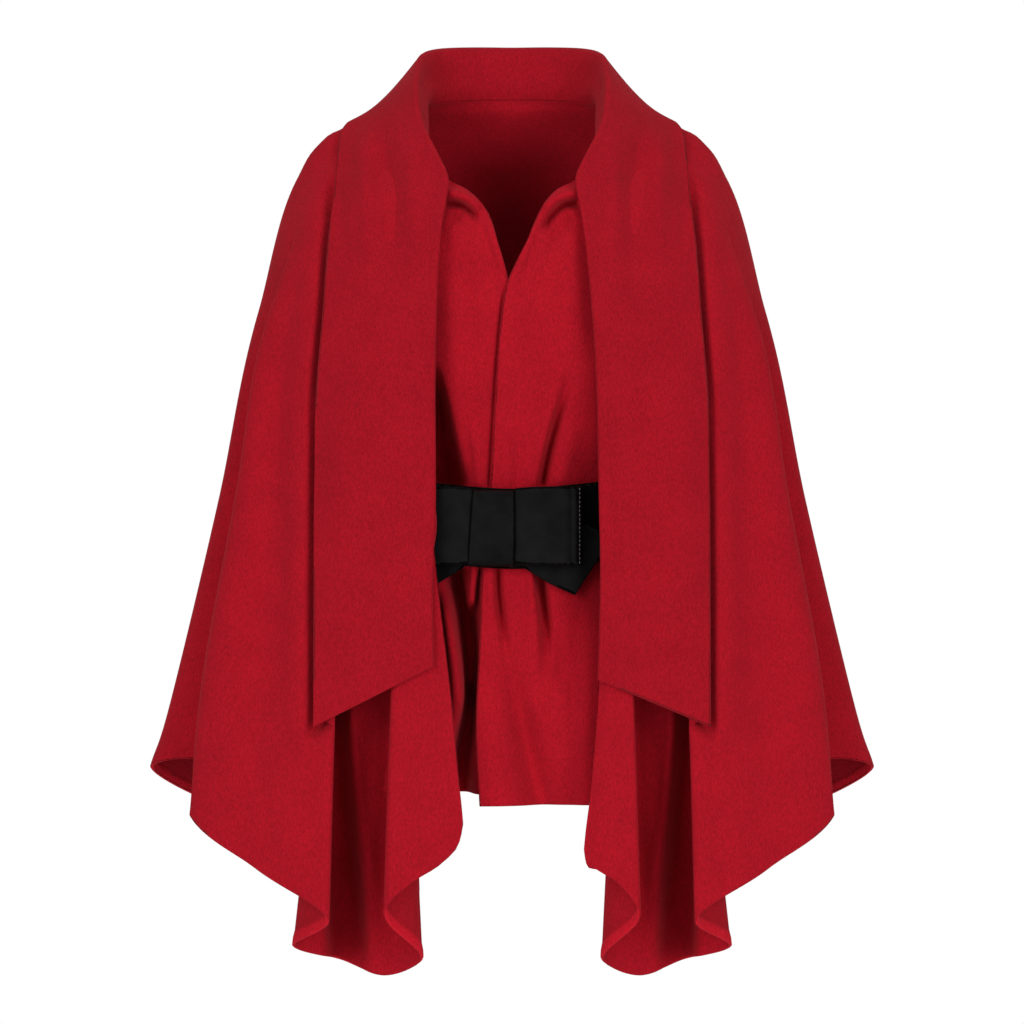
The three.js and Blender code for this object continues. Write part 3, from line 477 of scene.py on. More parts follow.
def shell_mesh(name, grid, thickness, wrap=False, inner_extra=None, normals=None,
               rims=(1, 1), ends=(1, 1)):
    """Closed cloth or leather shell round a grid of middle points, with rounded rims.
    Rows run along it, and with wrap they close into a loop. Rims says how far the first and last
    column round off, and ends the first and last row: 1 at a free edge, less at a seam."""
    if normals is None:
        normals = grid_normals(grid, wrap)
    half = thickness / 2
    extra = np.zeros(grid.shape[:2]) if inner_extra is None else inner_extra
    grid, normals, extra = (edge_supports(values, wrap) for values in (grid, normals, extra))
    start = unit(grid[:, 0] - grid[:, 1])
    end = unit(grid[:, -1] - grid[:, -2])
    middle = grid.copy()
    middle[:, 0] -= start * half * rims[0]
    middle[:, -1] -= end * half * rims[1]
    first = unit(middle[0] - middle[1])
    last = unit(middle[-1] - middle[-2])

    def ring(points, normal, from_start, from_end, inside, scale):
        outer = points + normal * half * scale
        inner = points - normal * (half + inside)[:, None] * scale
        k = half * scale * math.sqrt(0.5)
        return np.concatenate([
            outer,
            [points[-1] + from_end * k * rims[1] + normal[-1] * k],
            [points[-1] + from_end * half * scale * rims[1]],
            [points[-1] + from_end * k * rims[1] - normal[-1] * k],
            inner[::-1],
            [points[0] + from_start * k * rims[0] - normal[0] * k],
            [points[0] + from_start * half * scale * rims[0]],
            [points[0] + from_start * k * rims[0] + normal[0] * k],
        ])

    rings = []
    count = len(grid)
    for i in range(count):
        rings.append([middle[i], normals[i], start[i], end[i], extra[i], 1.0])
    if not wrap:
        tips = (first * half * ends[0], last * half * ends[1])
        rings[0][0] = middle[0] - tips[0]
        rings[-1][0] = middle[-1] - tips[1]
        for scale, reach in ((0.707, 0.707), (0.0, 1.0)):
            top = middle[0] - tips[0] * (1 - reach)
            bottom = middle[-1] - tips[1] * (1 - reach)
            rings.insert(0, [top, normals[0], start[0], end[0], extra[0], scale])
            rings.append([bottom, normals[-1], start[-1], end[-1], extra[-1], scale])
    loops = np.array([ring(*item) for item in rings])
    rows, around, _ = loops.shape
    vertices = loops.reshape(-1, 3) * MM
    i, j = np.meshgrid(np.arange(rows if wrap else rows - 1), np.arange(around), indexing="ij")
    next_i = (i + 1) % rows
    next_j = (j + 1) % around
    here, below = i * around, next_i * around
    faces = np.stack([here + j, below + j, below + next_j, here + next_j], axis=-1).reshape(-1, 4)
    mesh = bpy.data.meshes.new(name)
    mesh.from_pydata(vertices.tolist(), [], faces.tolist())
    across = running_length(grid[count // 2]) * MM
    columns = len(across)
    ring_across = np.concatenate([across, [across[-1]] * 3, across[::-1], [across[0]] * 3])
    down = running_length(loops[:, columns // 2]) * MM
    uv = mesh.uv_layers.new(name="cut")
    places = np.stack([np.tile(ring_across, rows), np.repeat(down, around)], axis=-1)
    corners = np.empty(len(mesh.loops), dtype=np.int32)
    mesh.loops.foreach_get("vertex_index", corners)
    uv.data.foreach_set("uv", places[corners].astype(np.float32).ravel())
    # marks the hem allowance on the inner face, where the wool paints light (painted light)
    allowance = mesh.attributes.new("allowance", "FLOAT", "POINT")
    share = np.clip(np.array([item[4] for item in rings]) / HEM_EXTRA, 0, 1)
    nothing = np.zeros((rows, 3))
    share = np.concatenate([share * 0, nothing, share[:, ::-1], nothing], axis=1)
    allowance.data.foreach_set("value", share.astype(np.float32).ravel())
    work = bmesh.new()
    work.from_mesh(mesh)
    bmesh.ops.remove_doubles(work, verts=work.verts, dist=1e-6)
    bmesh.ops.dissolve_degenerate(work, edges=work.edges, dist=1e-7)
    if work.calc_volume(signed=True) < 0:
        bmesh.ops.reverse_faces(work, faces=work.faces)
    work.to_mesh(mesh)
    work.free()
    mesh.polygons.foreach_set("use_smooth", [True] * len(mesh.polygons))
    return mesh


def add_piece(name, mesh, finish, replaces=()):
    old = bpy.data.objects.get(name)
    if old is not None:
        bpy.data.objects.remove(old)
    piece = bpy.data.objects.new(name, mesh)
    mesh.materials.clear()
    mesh.materials.append(finish)
    bpy.context.scene.collection.objects.link(piece)
    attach(piece, "root")
    if replaces:
        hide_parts(*replaces)
    return piece


# Cape panels

FRONT_STEPS = (10, 9, 12, 10, 14, 16, 14, 44, 26, 34, 10)
BACK_STEPS = (12, 18, 18, 18, 18, 16, 16)
HEM_ALLOWANCE = 9
HEM_EXTRA = 1.1
SEAM_LAP = 0.05
SEAM_RIM = 0.3
CHEST_ROWS = 44
SKIRT_ROWS = 92
CAPE_LENGTH = 760
LAPEL_FOOT = -630
SLIT_GAP = 7.6
SLIT_DEPTH = 17
SLIT_ROLL = 2.6
SIDE_RIDGE = 10
SIDE_HOLLOW = 17
SIDE_GROOVE = 7


def cape_columns():
    steps = (*FRONT_STEPS, *BACK_STEPS)
    half = np.concatenate([np.arange(n) / n + line for line, n in enumerate(steps)])
    return np.concatenate([half, [LINE_COUNT - 1], (LAST_LINE - half)[::-1]])


def cape_rows():
    chest = LINE_KNOTS[3]
    upper = np.linspace(0, chest, CHEST_ROWS, endpoint=False)
    return np.concatenate([upper, np.linspace(chest, 1, SKIRT_ROWS)])


def lapel_edge(z):
    rows = sorted((row[6], row[4]) for row in LAPEL_SECTIONS)
    return np.interp(z, [row[0] for row in rows], [row[1] for row in rows])


def slit_lift(grid, normals):
    """The drape rolls up beside the lapel's outer edge and drops steeply behind it"""
    x = np.abs(grid[..., 0])
    z = grid[..., 2]
    inward = lapel_edge(z) + SLIT_GAP - x
    lapel_end = LAPEL_FOOT + 0.5 * np.clip(inward, 0, 70)
    run = smooth_step(-72, -120, z) * smooth_step(lapel_end - 8, lapel_end + 8, z)
    shown = smooth_step(0, 0.3, -normals[..., 1])
    drop = smooth_step(-1, 4.2, inward) * (1 - smooth_step(20, 60, inward))
    roll = np.exp(-(((inward + 9) / 12) ** 2))
    return run * shown * (SLIT_ROLL * roll - SLIT_DEPTH * drop)


def recess_lift(grid, normals, columns, strength):
    """Folds that lie inside the box folds only"""
    inside = smooth_step(2.3, 2.9, columns) * smooth_step(6.75, 6.3, columns)
    return fold_lift(grid, normals, RECESS_FOLDS, strength) * inside


def side_crease(grid, columns):
    """The broad front ends at the side in a crisp ridge with a hollow behind it"""
    ridge = SIDE_RIDGE * smooth_step(8.3, 8.97, columns) * smooth_step(9.06, 8.97, columns)
    hollow = SIDE_HOLLOW * smooth_step(8.98, 9.12, columns) * smooth_step(10.8, 9.5, columns)
    hollow += SIDE_GROOVE * np.exp(-(((columns - 9.13) / 0.06) ** 2))
    z = grid[..., 2]
    ridge = ridge * (1 - 0.75 * smooth_step(-520, -740, z))
    hollow = hollow * (1 - 0.4 * smooth_step(-640, -740, z))
    return (ridge - hollow) * smooth_step(-115, -330, z)


def hem_drop(columns, depth):
    """How much lower the hem hangs beside the front edge than its straight line"""
    drop = np.interp(columns, (0, 0.1, 0.2, 0.4, 0.8, 1.4, 2), (-11, -3, 1, 3, 0, -5.5, 0))
    return drop * smooth_step(660, 750, depth)


def neck_lift(columns, depth):
    """At the back of the neck the cape leaves its seam upright"""
    below_seam = smooth_step(0, 22, depth) * smooth_step(66, 22, depth)
    return -NECK_ROUNDING * below_seam * smooth_step(12, 15, columns)


def dressed_cape(strength):
    columns = cape_columns()
    grid = CAPE.grid(columns, cape_rows())
    normals = grid_normals(grid)
    lift = fold_lift(grid, normals, FRONT_RIGHT_FOLDS + FRONT_LEFT_FOLDS + BACK_FOLDS, strength)
    lift += slit_lift(grid, normals)
    edge = np.minimum(columns, LAST_LINE - columns)[None, :]
    lift += recess_lift(grid, normals, edge, strength) + side_crease(grid, edge)
    # the neck seam and the front edges keep their line
    depth = np.linspace(0, 1, len(grid))[:, None] * CAPE_LENGTH
    lift *= smooth_step(4, 40, depth) * smooth_step(0, 0.6, edge)
    lift += neck_lift(edge, depth)
    grid = grid + normals * lift[..., None]
    grid[..., 2] -= hem_drop(edge, depth)
    return columns, grid, grid_normals(grid)


def hem_extra(grid):
    """Turned-up hem allowance on the wrong side"""
    steps = np.linalg.norm(np.diff(grid, axis=0), axis=2)
    from_hem = np.concatenate([np.cumsum(steps[::-1], axis=0)[::-1], np.zeros((1, grid.shape[1]))])
    return HEM_EXTRA * smooth_step(HEM_ALLOWANCE + 1.2, HEM_ALLOWANCE - 0.6, from_hem)


def cape_panel(name, first, last, cape):
    columns, grid, normals = cape
    keep = (columns >= first - 1e-6) & (columns <= last + 1e-6)
    part = grid[:, keep]
    seams = (first > 0, last < LAST_LINE)
    rims = tuple(SEAM_RIM if seam else 1 for seam in seams)
    part = lap_seams(part, seams)
    return shell_mesh(name, part, WOOL, inner_extra=hem_extra(part), normals=normals[:, keep],
                      rims=rims, ends=(SEAM_RIM, 1))


# Collar and lapels

class RidgeRest:
    """Lifts points clear of the cape's ridges, or presses them under the cape"""

    def __init__(self):
        self.cape = self.spots(CAPE, 0.25)
        self.cover = self.spots(ENVELOPE, 0.2)
        self.cape_tree = self.tree(self.cape[0])
        self.cover_tree = self.tree(self.cover[0])
        places, normals = self.cover
        self.raised = np.zeros(len(places))
        reach = REACH * math.sqrt(1.5)
        for k, place in enumerate(places):
            near = [hit[1] for hit in self.cape_tree.find_range(Vector(place), reach)]
            if not near:
                continue
            away = self.cape[0][near] - place
            height = away @ normals[k]
            beside = (away**2).sum(axis=1) - height**2
            good = (height < REACH) & (beside < REACH**2 / 2)
            if good.any():
                self.raised[k] = max(0, height[good].max())

    @staticmethod
    def spots(surface, step):
        last = len(surface.lines) - 1
        u = np.arange(0, last + 1e-9, step)
        v = np.arange(0, 0.86 + 1e-9, 0.0125)
        grid = surface.grid(u, v)
        around = surface.grid(np.minimum(last, u + 0.02), v) - surface.grid(np.maximum(0, u - 0.02), v)
        down = surface.grid(u, np.minimum(1, v + 0.004)) - surface.grid(u, np.maximum(0, v - 0.004))
        return grid.reshape(-1, 3), unit(np.cross(around, down)).reshape(-1, 3)

    @staticmethod
    def tree(points):
        tree = kdtree.KDTree(len(points))
        for k, point in enumerate(points):
            tree.insert(Vector(point), k)
        tree.balance()
        return tree

    def lift_off(self, point, clear, turn):
        point = np.array(point, float)
        for _ in range(4):
            k = self.cover_tree.find(Vector(point))[1]
            place, normal = self.cover[0][k], self.cover[1][k]
            height = (point - place) @ normal
            way = unit(np.array((0, -1.0, 0)) * (1 - turn) + normal * turn)
            point = point + way * max(0, clear + self.raised[k] - height) / (way @ normal)
        return point

    def press_under(self, point, clear):
        point = np.array(point, float)
        for _ in range(3):
            k = self.cape_tree.find(Vector(point))[1]
            place, normal = self.cape[0][k], self.cape[1][k]
            point = point + normal * min(0, -clear - (point - place) @ normal)
        return point


def height_on_line(line, z):
    low, high = 0, 1
    for _ in range(24):
        middle = (low + high) / 2
        if CAPE.point(line, middle)[2] > z:
            low = middle
        else:
            high = middle
    return (low + high) / 2


def line_at_place(at):
    places = [row[1] for row in FOLD_LINES]
    return float(np.interp(at, places, range(len(places))))


def band_stations(side, rest):
    """Seam, seam normal, crest, free edge and shape of each section, lapel end to middle of the back"""
    line = 0 if side < 0 else LAST_LINE
    stations = []
    for k, (z, right_x, left_x, roll_y, edge_x, edge_y, edge_z, sewn) in enumerate(LAPEL_SECTIONS):
        if side > 0 and k == 0:
            z = LEFT_LAPEL_END
        roll_x = left_x if side > 0 else right_x
        v = height_on_line(line, z)
        crest = np.array((roll_x * side, roll_y, z), float)
        seam = CAPE.point(line, v)
        if sewn < 1:
            free = crest + (7 * side, 4, 0)
            seam = rest.lift_off(free + (seam - free) * sewn, LAPEL_CLEAR, 0) + (-side, 0, 0)
        stations.append((seam, CAPE.normal(line, v), crest, (edge_x * side, edge_y, edge_z), (0, 0, 0)))
    for at, roll_x, roll_y, roll_z, edge_x, edge_y, edge_z, swell in COLLAR_SECTIONS:
        u = line_at_place(at)
        u = u if side < 0 else LAST_LINE - u
        roll_x += CREST_EASE * math.exp(-(((at - 0.55) / 0.33) ** 2))
        stations.append((
            CAPE.point(u, 0), CAPE.normal(u, 0), (roll_x * side, roll_y, roll_z),
            (edge_x * side, edge_y, edge_z), (swell, min(1, at / 0.85), float(smooth_step(0.9, 1.5, at))),
        ))
    return stations


def band_grid(rest, steps, spacing):
    stations = band_stations(-1, rest) + band_stations(1, rest)[::-1][1:]
    seam, normal, crest, edge, shape = (np.array([s[k] for s in stations], float) for k in range(5))
    knots = chord_knots(crest)
    places = np.linspace(0, knots[-1], steps + 1)

    def pick(values, at):
        return smooth_curve(knots, values, np.clip(at, 0, knots[-1]))

    along = pick(seam, places + 1) - pick(seam, places - 1)
    normals = unit(pick(normal, places))
    into = unit(np.cross(along, normals))
    rows = []
    for s, n, c, e, form, inward in zip(
        pick(seam, places), normals, pick(crest, places), pick(edge, places), pick(shape, places), into
    ):
        gap = SEAM_GAP + sum(room * math.exp(-(((s[2] - z) / reach) ** 2)) for z, room, reach in SEAM_EASE)
        turn, back = np.clip(form[1:], 0, 1)
        upright = unit(inward * (1 - back) + np.array((0, 0, back)))
        start = s + upright * gap * (1 - 0.7 * back)
        after = s + upright * (gap + 1.6 + 6 * back)
        section = [start, after, (after + c) / 2 - n * 2.2 * back, c]
        for k in FALL_PLACES:
            p = c + (e - c) * k + n * form[0] * 4 * k * (1 - k)
            section.append(rest.lift_off(p, COLLAR_CLEAR + 2.5 * (1 - k), turn))
        section = np.array(section)
        marks = chord_knots(section)
        spots = np.concatenate([
            np.linspace(a, b, n, endpoint=False) for a, b, n in zip(marks[:-1], marks[1:], spacing)
        ] + [[marks[-1]]])
        rows.append(smooth_curve(marks, section, spots))
    return np.array(rows)


def smooth_along(grid, passes):
    """Evens the rows of a grid against their neighbours, with the first column and end rows held"""
    for _ in range(passes):
        moved = grid.copy()
        moved[1:-1, 1:] = grid[1:-1, 1:] * 0.5 + (grid[:-2, 1:] + grid[2:, 1:]) * 0.25
        grid = moved
    return grid


# Inner fronts

INNER_COLUMNS = 112
INNER_ROWS = (64, 134)          # the lips at the neck get the first rows, closer together
LIP_SHARE = 0.22
FACE_SPOT = (70, 20)            # a point of the grid that faces the front


def over_edge(z):
    """Where the over panel's free edge lies at a height"""
    rows = sorted((row[3], row[1]) for row in INNER_SECTIONS)
    return np.interp(z, [row[0] for row in rows], [row[1] for row in rows])


def inner_front_grid(side, rest):
    """side -1 is the under panel (wearer's right), 1 the over panel"""
    columns, rows = INNER_COLUMNS, sum(INNER_ROWS)
    edges, sides = [], []
    for k, (under_x, over_x, edge_y, edge_z, side_x, side_y, side_z) in enumerate(INNER_SECTIONS):
        lift = UNDER_SHORTER if side < 0 and k == len(INNER_SECTIONS) - 1 else 0
        edges.append((-under_x if side < 0 else over_x, edge_y, edge_z + lift))
        sides.append((side_x * side, side_y, side_z + lift))
    line = SIDE_LINE - 0.35 if side < 0 else LAST_LINE - SIDE_LINE + 0.35
    edges.insert(0, CAPE.point(line, 0.012) - CAPE.normal(line, 0.012) * INNER_CLEAR)
    sides.insert(0, CAPE.point(line, 0.085) - CAPE.normal(line, 0.085) * INNER_CLEAR)
    edges, sides = np.array(edges, float), np.array(sides, float)
    knots = chord_knots((edges + sides) / 2)
    places = knots[-1] * np.concatenate([
        np.linspace(0, LIP_SHARE, INNER_ROWS[0], endpoint=False), np.linspace(LIP_SHARE, 1, INNER_ROWS[1]),
    ])
    edge = smooth_curve(knots, edges, places)[:, None]
    outer = smooth_curve(knots, sides, places)[:, None]
    share = np.linspace(0, 1, columns)[None, :]
    angle = share * math.pi / 2
    x = edge[..., 0] + (outer[..., 0] - edge[..., 0]) * np.sin(angle)
    y = outer[..., 1] + (edge[..., 1] - outer[..., 1]) * np.cos(angle) ** SQUARENESS
    z = edge[..., 2] + (outer[..., 2] - edge[..., 2]) * share
    if side < 0:
        y = y + OVERLAP_STEP * smooth_step(-56, -40, x) * smooth_step(-150, -185, z)
    grid = np.stack([x, y, z], axis=-1)
    for i in range(rows):
        for j in range(columns):
            if grid[i, j, 2] > WAIST_LEVEL:
                grid[i, j] = rest.press_under(grid[i, j], INNER_CLEAR)
    return grid


# Finishes

def node(tree, kind, **settings):
    made = tree.nodes.new(kind)
    for name, value in settings.items():
        setattr(made, name, value)
    return made


def set_inputs(target, values):
    for name, value in values.items():
        target.inputs[name].default_value = value


def new_material(name):
    old = bpy.data.materials.get(name)
    if old is not None:
        bpy.data.materials.remove(old)
    material = bpy.data.materials.new(name)
    material.use_nodes = True
    tree = material.node_tree
    tree.nodes.clear()
    shader = node(tree, "ShaderNodeBsdfPrincipled")
    output = node(tree, "ShaderNodeOutputMaterial")
    tree.links.new(shader.outputs["BSDF"], output.inputs["Surface"])
    return material, tree, shader


def noise(tree, source, scale, detail, roughness, distortion=0.0):
    made = node(tree, "ShaderNodeTexNoise")
    set_inputs(made, {"Scale": scale, "Detail": detail, "Roughness": roughness, "Distortion": distortion})
    tree.links.new(source, made.inputs["Vector"])
    return made.outputs["Fac"]


def ramp(tree, source, stops):
    made = node(tree, "ShaderNodeValToRGB")
    elements = made.color_ramp.elements
    while len(elements) < len(stops):
        elements.new(0.5)
    for element, (place, colour) in zip(elements, stops):
        element.position = place
        element.color = (*colour, 1) if isinstance(colour, tuple) else (colour, colour, colour, 1)
    tree.links.new(source, made.inputs["Fac"])
    return made.outputs["Color"]


def mixed(tree, kind, factor, a, b):
    made = node(tree, "ShaderNodeMix", data_type="RGBA", blend_type=kind)
    if isinstance(factor, float):
        made.inputs[0].default_value = factor
    else:
        tree.links.new(factor, made.inputs[0])
    for socket, value in ((made.inputs[6], a), (made.inputs[7], b)):
        if isinstance(value, tuple):
            socket.default_value = (*value, 1)
        else:
            tree.links.new(value, socket)
    return made.outputs[2]


def bump(tree, source, strength, distance, below=None):
    made = node(tree, "ShaderNodeBump")
    set_inputs(made, {"Strength": strength, "Distance": distance})
    tree.links.new(source, made.inputs["Height"])
    if below is not None:
        tree.links.new(below, made.inputs["Normal"])
    return made.outputs["Normal"]


def felted_wool(name, colour):
    """Felted wool: mottled dye, matted fibres, a soft nap that catches light at grazing angles, and
    painted light on the turned hem allowance of the wrong side
    """
    material, tree, shader = new_material(name)
    place = node(tree, "ShaderNodeTexCoord").outputs["Object"]
    grain = node(tree, "ShaderNodeMapping")
    grain.inputs["Scale"].default_value = (1.0, 1.0, 0.4)
    tree.links.new(place, grain.inputs["Vector"])
    grain = grain.outputs["Vector"]
    deep = tuple(c * 0.82 for c in colour)
    light = tuple(min(1, c * 1.17) for c in colour)
    mottle = noise(tree, grain, 700.0, 4.0, 0.62)
    dye = ramp(tree, mottle, ((0.36, deep), (0.50, colour), (0.66, light)))
    wide = ramp(tree, noise(tree, place, 26.0, 3.0, 0.5), ((0.3, 0.93), (0.7, 1.05)))
    dye = mixed(tree, "MULTIPLY", 1.0, dye, wide)
    specks = ramp(tree, noise(tree, place, 1100.0, 2.0, 0.6), ((0.38, 0.84), (0.62, 1.12)))
    dye = mixed(tree, "MULTIPLY", 0.9, dye, specks)
    # painted light: the turned hem allowance on the wrong side is painted up to 1.55 times lighter
    allowance = node(tree, "ShaderNodeAttribute", attribute_name="allowance")
    turned = ramp(tree, allowance.outputs["Fac"], ((0.2, 1.0), (0.8, 1.55)))
    dye = mixed(tree, "MULTIPLY", 1.0, dye, turned)
    tree.links.new(dye, shader.inputs["Base Color"])
    set_inputs(shader, {
        "Roughness": 0.95, "Specular IOR Level": 0.12, "Sheen Weight": 0.22, "Sheen Roughness": 0.45,
        "Sheen Tint": (1.0, 0.12, 0.15, 1),
    })
    fibres = noise(tree, grain, 620.0, 6.0, 0.7, 0.6)
    pills = noise(tree, place, 190.0, 3.0, 0.55)
    relief = bump(tree, fibres, 0.55, 0.0013)
    relief = bump(tree, pills, 0.28, 0.0014, relief)
    tree.links.new(relief, shader.inputs["Normal"])
    return material


def smooth_leather(name, colour):
    """Black leather: fine pebbled grain, slight wear and a low satin shine"""
    material, tree, shader = new_material(name)
    place = node(tree, "ShaderNodeTexCoord").outputs["Object"]
    worn = tuple(min(1, c * 1.9 + 0.002) for c in colour)
    clouds = noise(tree, place, 38.0, 4.0, 0.55)
    dye = ramp(tree, clouds, ((0.35, colour), (0.75, worn)))
    tree.links.new(dye, shader.inputs["Base Color"])
    gloss = ramp(tree, noise(tree, place, 60.0, 5.0, 0.6), ((0.3, 0.42), (0.7, 0.58)))
    tree.links.new(gloss, shader.inputs["Roughness"])
    shader.inputs["Specular IOR Level"].default_value = 0.05
    cells = node(tree, "ShaderNodeTexVoronoi", feature="DISTANCE_TO_EDGE")
    cells.inputs["Scale"].default_value = 1100.0
    tree.links.new(place, cells.inputs["Vector"])
    grain = ramp(tree, cells.outputs["Distance"], ((0.0, 0.0), (0.16, 1.0)))
    relief = bump(tree, grain, 0.22, 0.00025)
    relief = bump(tree, noise(tree, place, 140.0, 4.0, 0.6), 0.25, 0.0006, relief)
    tree.links.new(relief, shader.inputs["Normal"])
    return material


def waxed_thread(name, colour):
    material, tree, shader = new_material(name)
    place = node(tree, "ShaderNodeTexCoord").outputs["Object"]
    twist = noise(tree, place, 2600.0, 2.0, 0.5)
    shade = tuple(c * 0.7 for c in colour)
    tree.links.new(ramp(tree, twist, ((0.3, shade), (0.7, colour))), shader.inputs["Base Color"])
    shader.inputs["Roughness"].default_value = 0.6
    tree.links.new(bump(tree, twist, 0.4, 0.0002), shader.inputs["Normal"])
    return material


# Belt and bow

BELT_INSIDE = WOOL / 2 + SEAM_GAP + 0.5
BELT_FRONT = WAIST_FRONT + 1.2
BELT_TILT = 9
BELT_SAG = 2.5
KNOT_HALF_DEPTH = 7.5
KNOT_HALF_HEIGHT = 35.5
KNOT_WIDTH = 41
KNOT_SLANT = 2.5
BELT_FACE = -(BELT_FRONT + BELT_INSIDE + LEATHER)
KNOT_Y = BELT_FACE - SEAM_GAP - LEATHER - KNOT_HALF_DEPTH
BOW_Z = -428
LOOP_Y = KNOT_Y - 1.6
LOOP_BEND = 8
STITCHED_AT = 0.975
# Bow loop, knot to tip: place along the half width, half thickness, half height
LOOP_SECTIONS = (
    (0, 3.6, 29), (0.236, 3.9, 30), (0.255, 4.3, 37), (0.42, 6.5, 38.2),
    (0.65, 8.3, 38.7), (0.88, 7.2, 38.7), (0.97, 4.5, 38.7), (1, 0, 38.7),
)
# Bow tails, middle to tip: upper x, z, lower x, z
TAIL_SECTIONS = (
    (0, -408, 0, -450), (22, -405, 22, -455), (30, -398, 30, -467), (62, -410, 54, -482),
    (118, -436, 80, -494),
)


def out_from(points, axis):
    ahead = np.roll(points, -1, axis=0) - np.roll(points, 1, axis=0)
    out = unit(np.cross(ahead, axis))
    turned = ((points - points.mean(axis=0)) * out).sum(axis=1) < 0
    out[turned] *= -1
    return out


def strap_grid(middle, half, columns):
    share = np.linspace(1, -1, columns)[None, :, None]
    return middle[:, None] + half[:, None] * share


def belt_grid(steps, columns):
    angle = np.arange(steps) / steps * math.tau
    cosine = np.cos(angle)
    front = -5 - (BELT_FRONT - 5) * np.abs(cosine) ** SQUARENESS
    back = -5 + (WAIST_BACK + 5) * np.abs(cosine) ** 0.8
    x = WAIST_HALF_WIDTH * np.sin(angle)
    y = np.where(cosine > 0, front, back)
    path = np.stack([x, y, 0 * angle + BELT_MIDDLE], axis=-1)
    out = out_from(path, (0, 0, 1))
    middle = path + out * (BELT_INSIDE + LEATHER / 2)
    middle[:, 2] += BELT_TILT * (path[:, 0] / WAIST_HALF_WIDTH) ** 2
    middle[:, 2] -= BELT_SAG * np.exp(-((path[:, 0] / 48) ** 2)) * (path[:, 1] < 0)
    half = np.tile((0, 0, BELT_HEIGHT / 2), (steps, 1))
    return strap_grid(middle, half, columns)


def knot_grid(steps, columns):
    angle = np.arange(steps) / steps * math.tau
    y = KNOT_HALF_DEPTH * np.sign(np.cos(angle)) * np.abs(np.cos(angle)) ** 0.5
    z = KNOT_HALF_HEIGHT * np.sign(np.sin(angle)) * np.abs(np.sin(angle)) ** 0.5
    path = np.stack([0 * angle + BOW_CENTRE_X, KNOT_Y + y, BOW_Z + z], axis=-1)
    path = path + out_from(path, (1, 0, 0)) * LEATHER / 2
    slant = KNOT_SLANT * ((path[:, 2] - BOW_Z) / KNOT_HALF_HEIGHT - 1)
    half = np.tile((KNOT_WIDTH / 2, 0.0, 0.0), (steps, 1))
    half[:, 0] -= slant / 2
    path[:, 0] += slant / 2
    return strap_grid(path, half, columns)


def loop_grid(columns, per_side):
    knots = [row[0] for row in LOOP_SECTIONS]
    sizes = [(row[1], row[2]) for row in LOOP_SECTIONS]
    share = 1 - (1 - np.linspace(0, 1, per_side)) ** 1.5
    share = np.sort(np.concatenate([share, knots[1:4]]))
    places = np.concatenate([-share[::-1], share[1:]])

    def spots(at, front):
        thick = smooth_curve(knots, sizes, np.abs(at))[:, 0]
        high = np.interp(np.abs(at), knots, [row[2] for row in LOOP_SECTIONS])
        back = LOOP_SECTIONS[0][1]
        y = LOOP_Y + LOOP_BEND * at**2 + (back - 2 * thick if front else back)
        return np.stack([BOW_CENTRE_X + BOW_HALF_WIDTH * at, y, 0 * at + BOW_Z + 2.5], axis=-1), high

    front, front_high = spots(places, True)
    back, back_high = spots(places[1:-1][::-1], False)
    ring = np.concatenate([front, back])
    high = np.concatenate([front_high, back_high])
    ahead = np.roll(ring, -1, axis=0) - np.roll(ring, 1, axis=0)
    out = unit(np.cross(ahead, (0, 0, 1)))
    half = np.zeros_like(ring)
    half[:, 2] = high
    return strap_grid(ring - out * LEATHER / 2, half, columns)


def tail_grid(rows, columns):
    sections = [(-a, b, -c, d) for a, b, c, d in TAIL_SECTIONS[1:][::-1]] + list(TAIL_SECTIONS)
    sections = np.array(sections, float)
    knots = chord_knots((sections[:, :2] + sections[:, 2:]) / 2)
    places = np.linspace(0, knots[-1], rows)
    upper_x, upper_z, lower_x, lower_z = (np.interp(places, knots, column) for column in sections.T)
    y = KNOT_Y + KNOT_HALF_DEPTH - 1.2 - LEATHER / 2

    def edge(x, z):
        return np.stack([BOW_CENTRE_X + x, y + LOOP_BEND * (x / BOW_HALF_WIDTH) ** 2, z], axis=-1)

    upper, lower = edge(upper_x, upper_z), edge(lower_x, lower_z)
    return strap_grid((upper + lower) / 2, (upper - lower) / 2, columns)


# Stitches

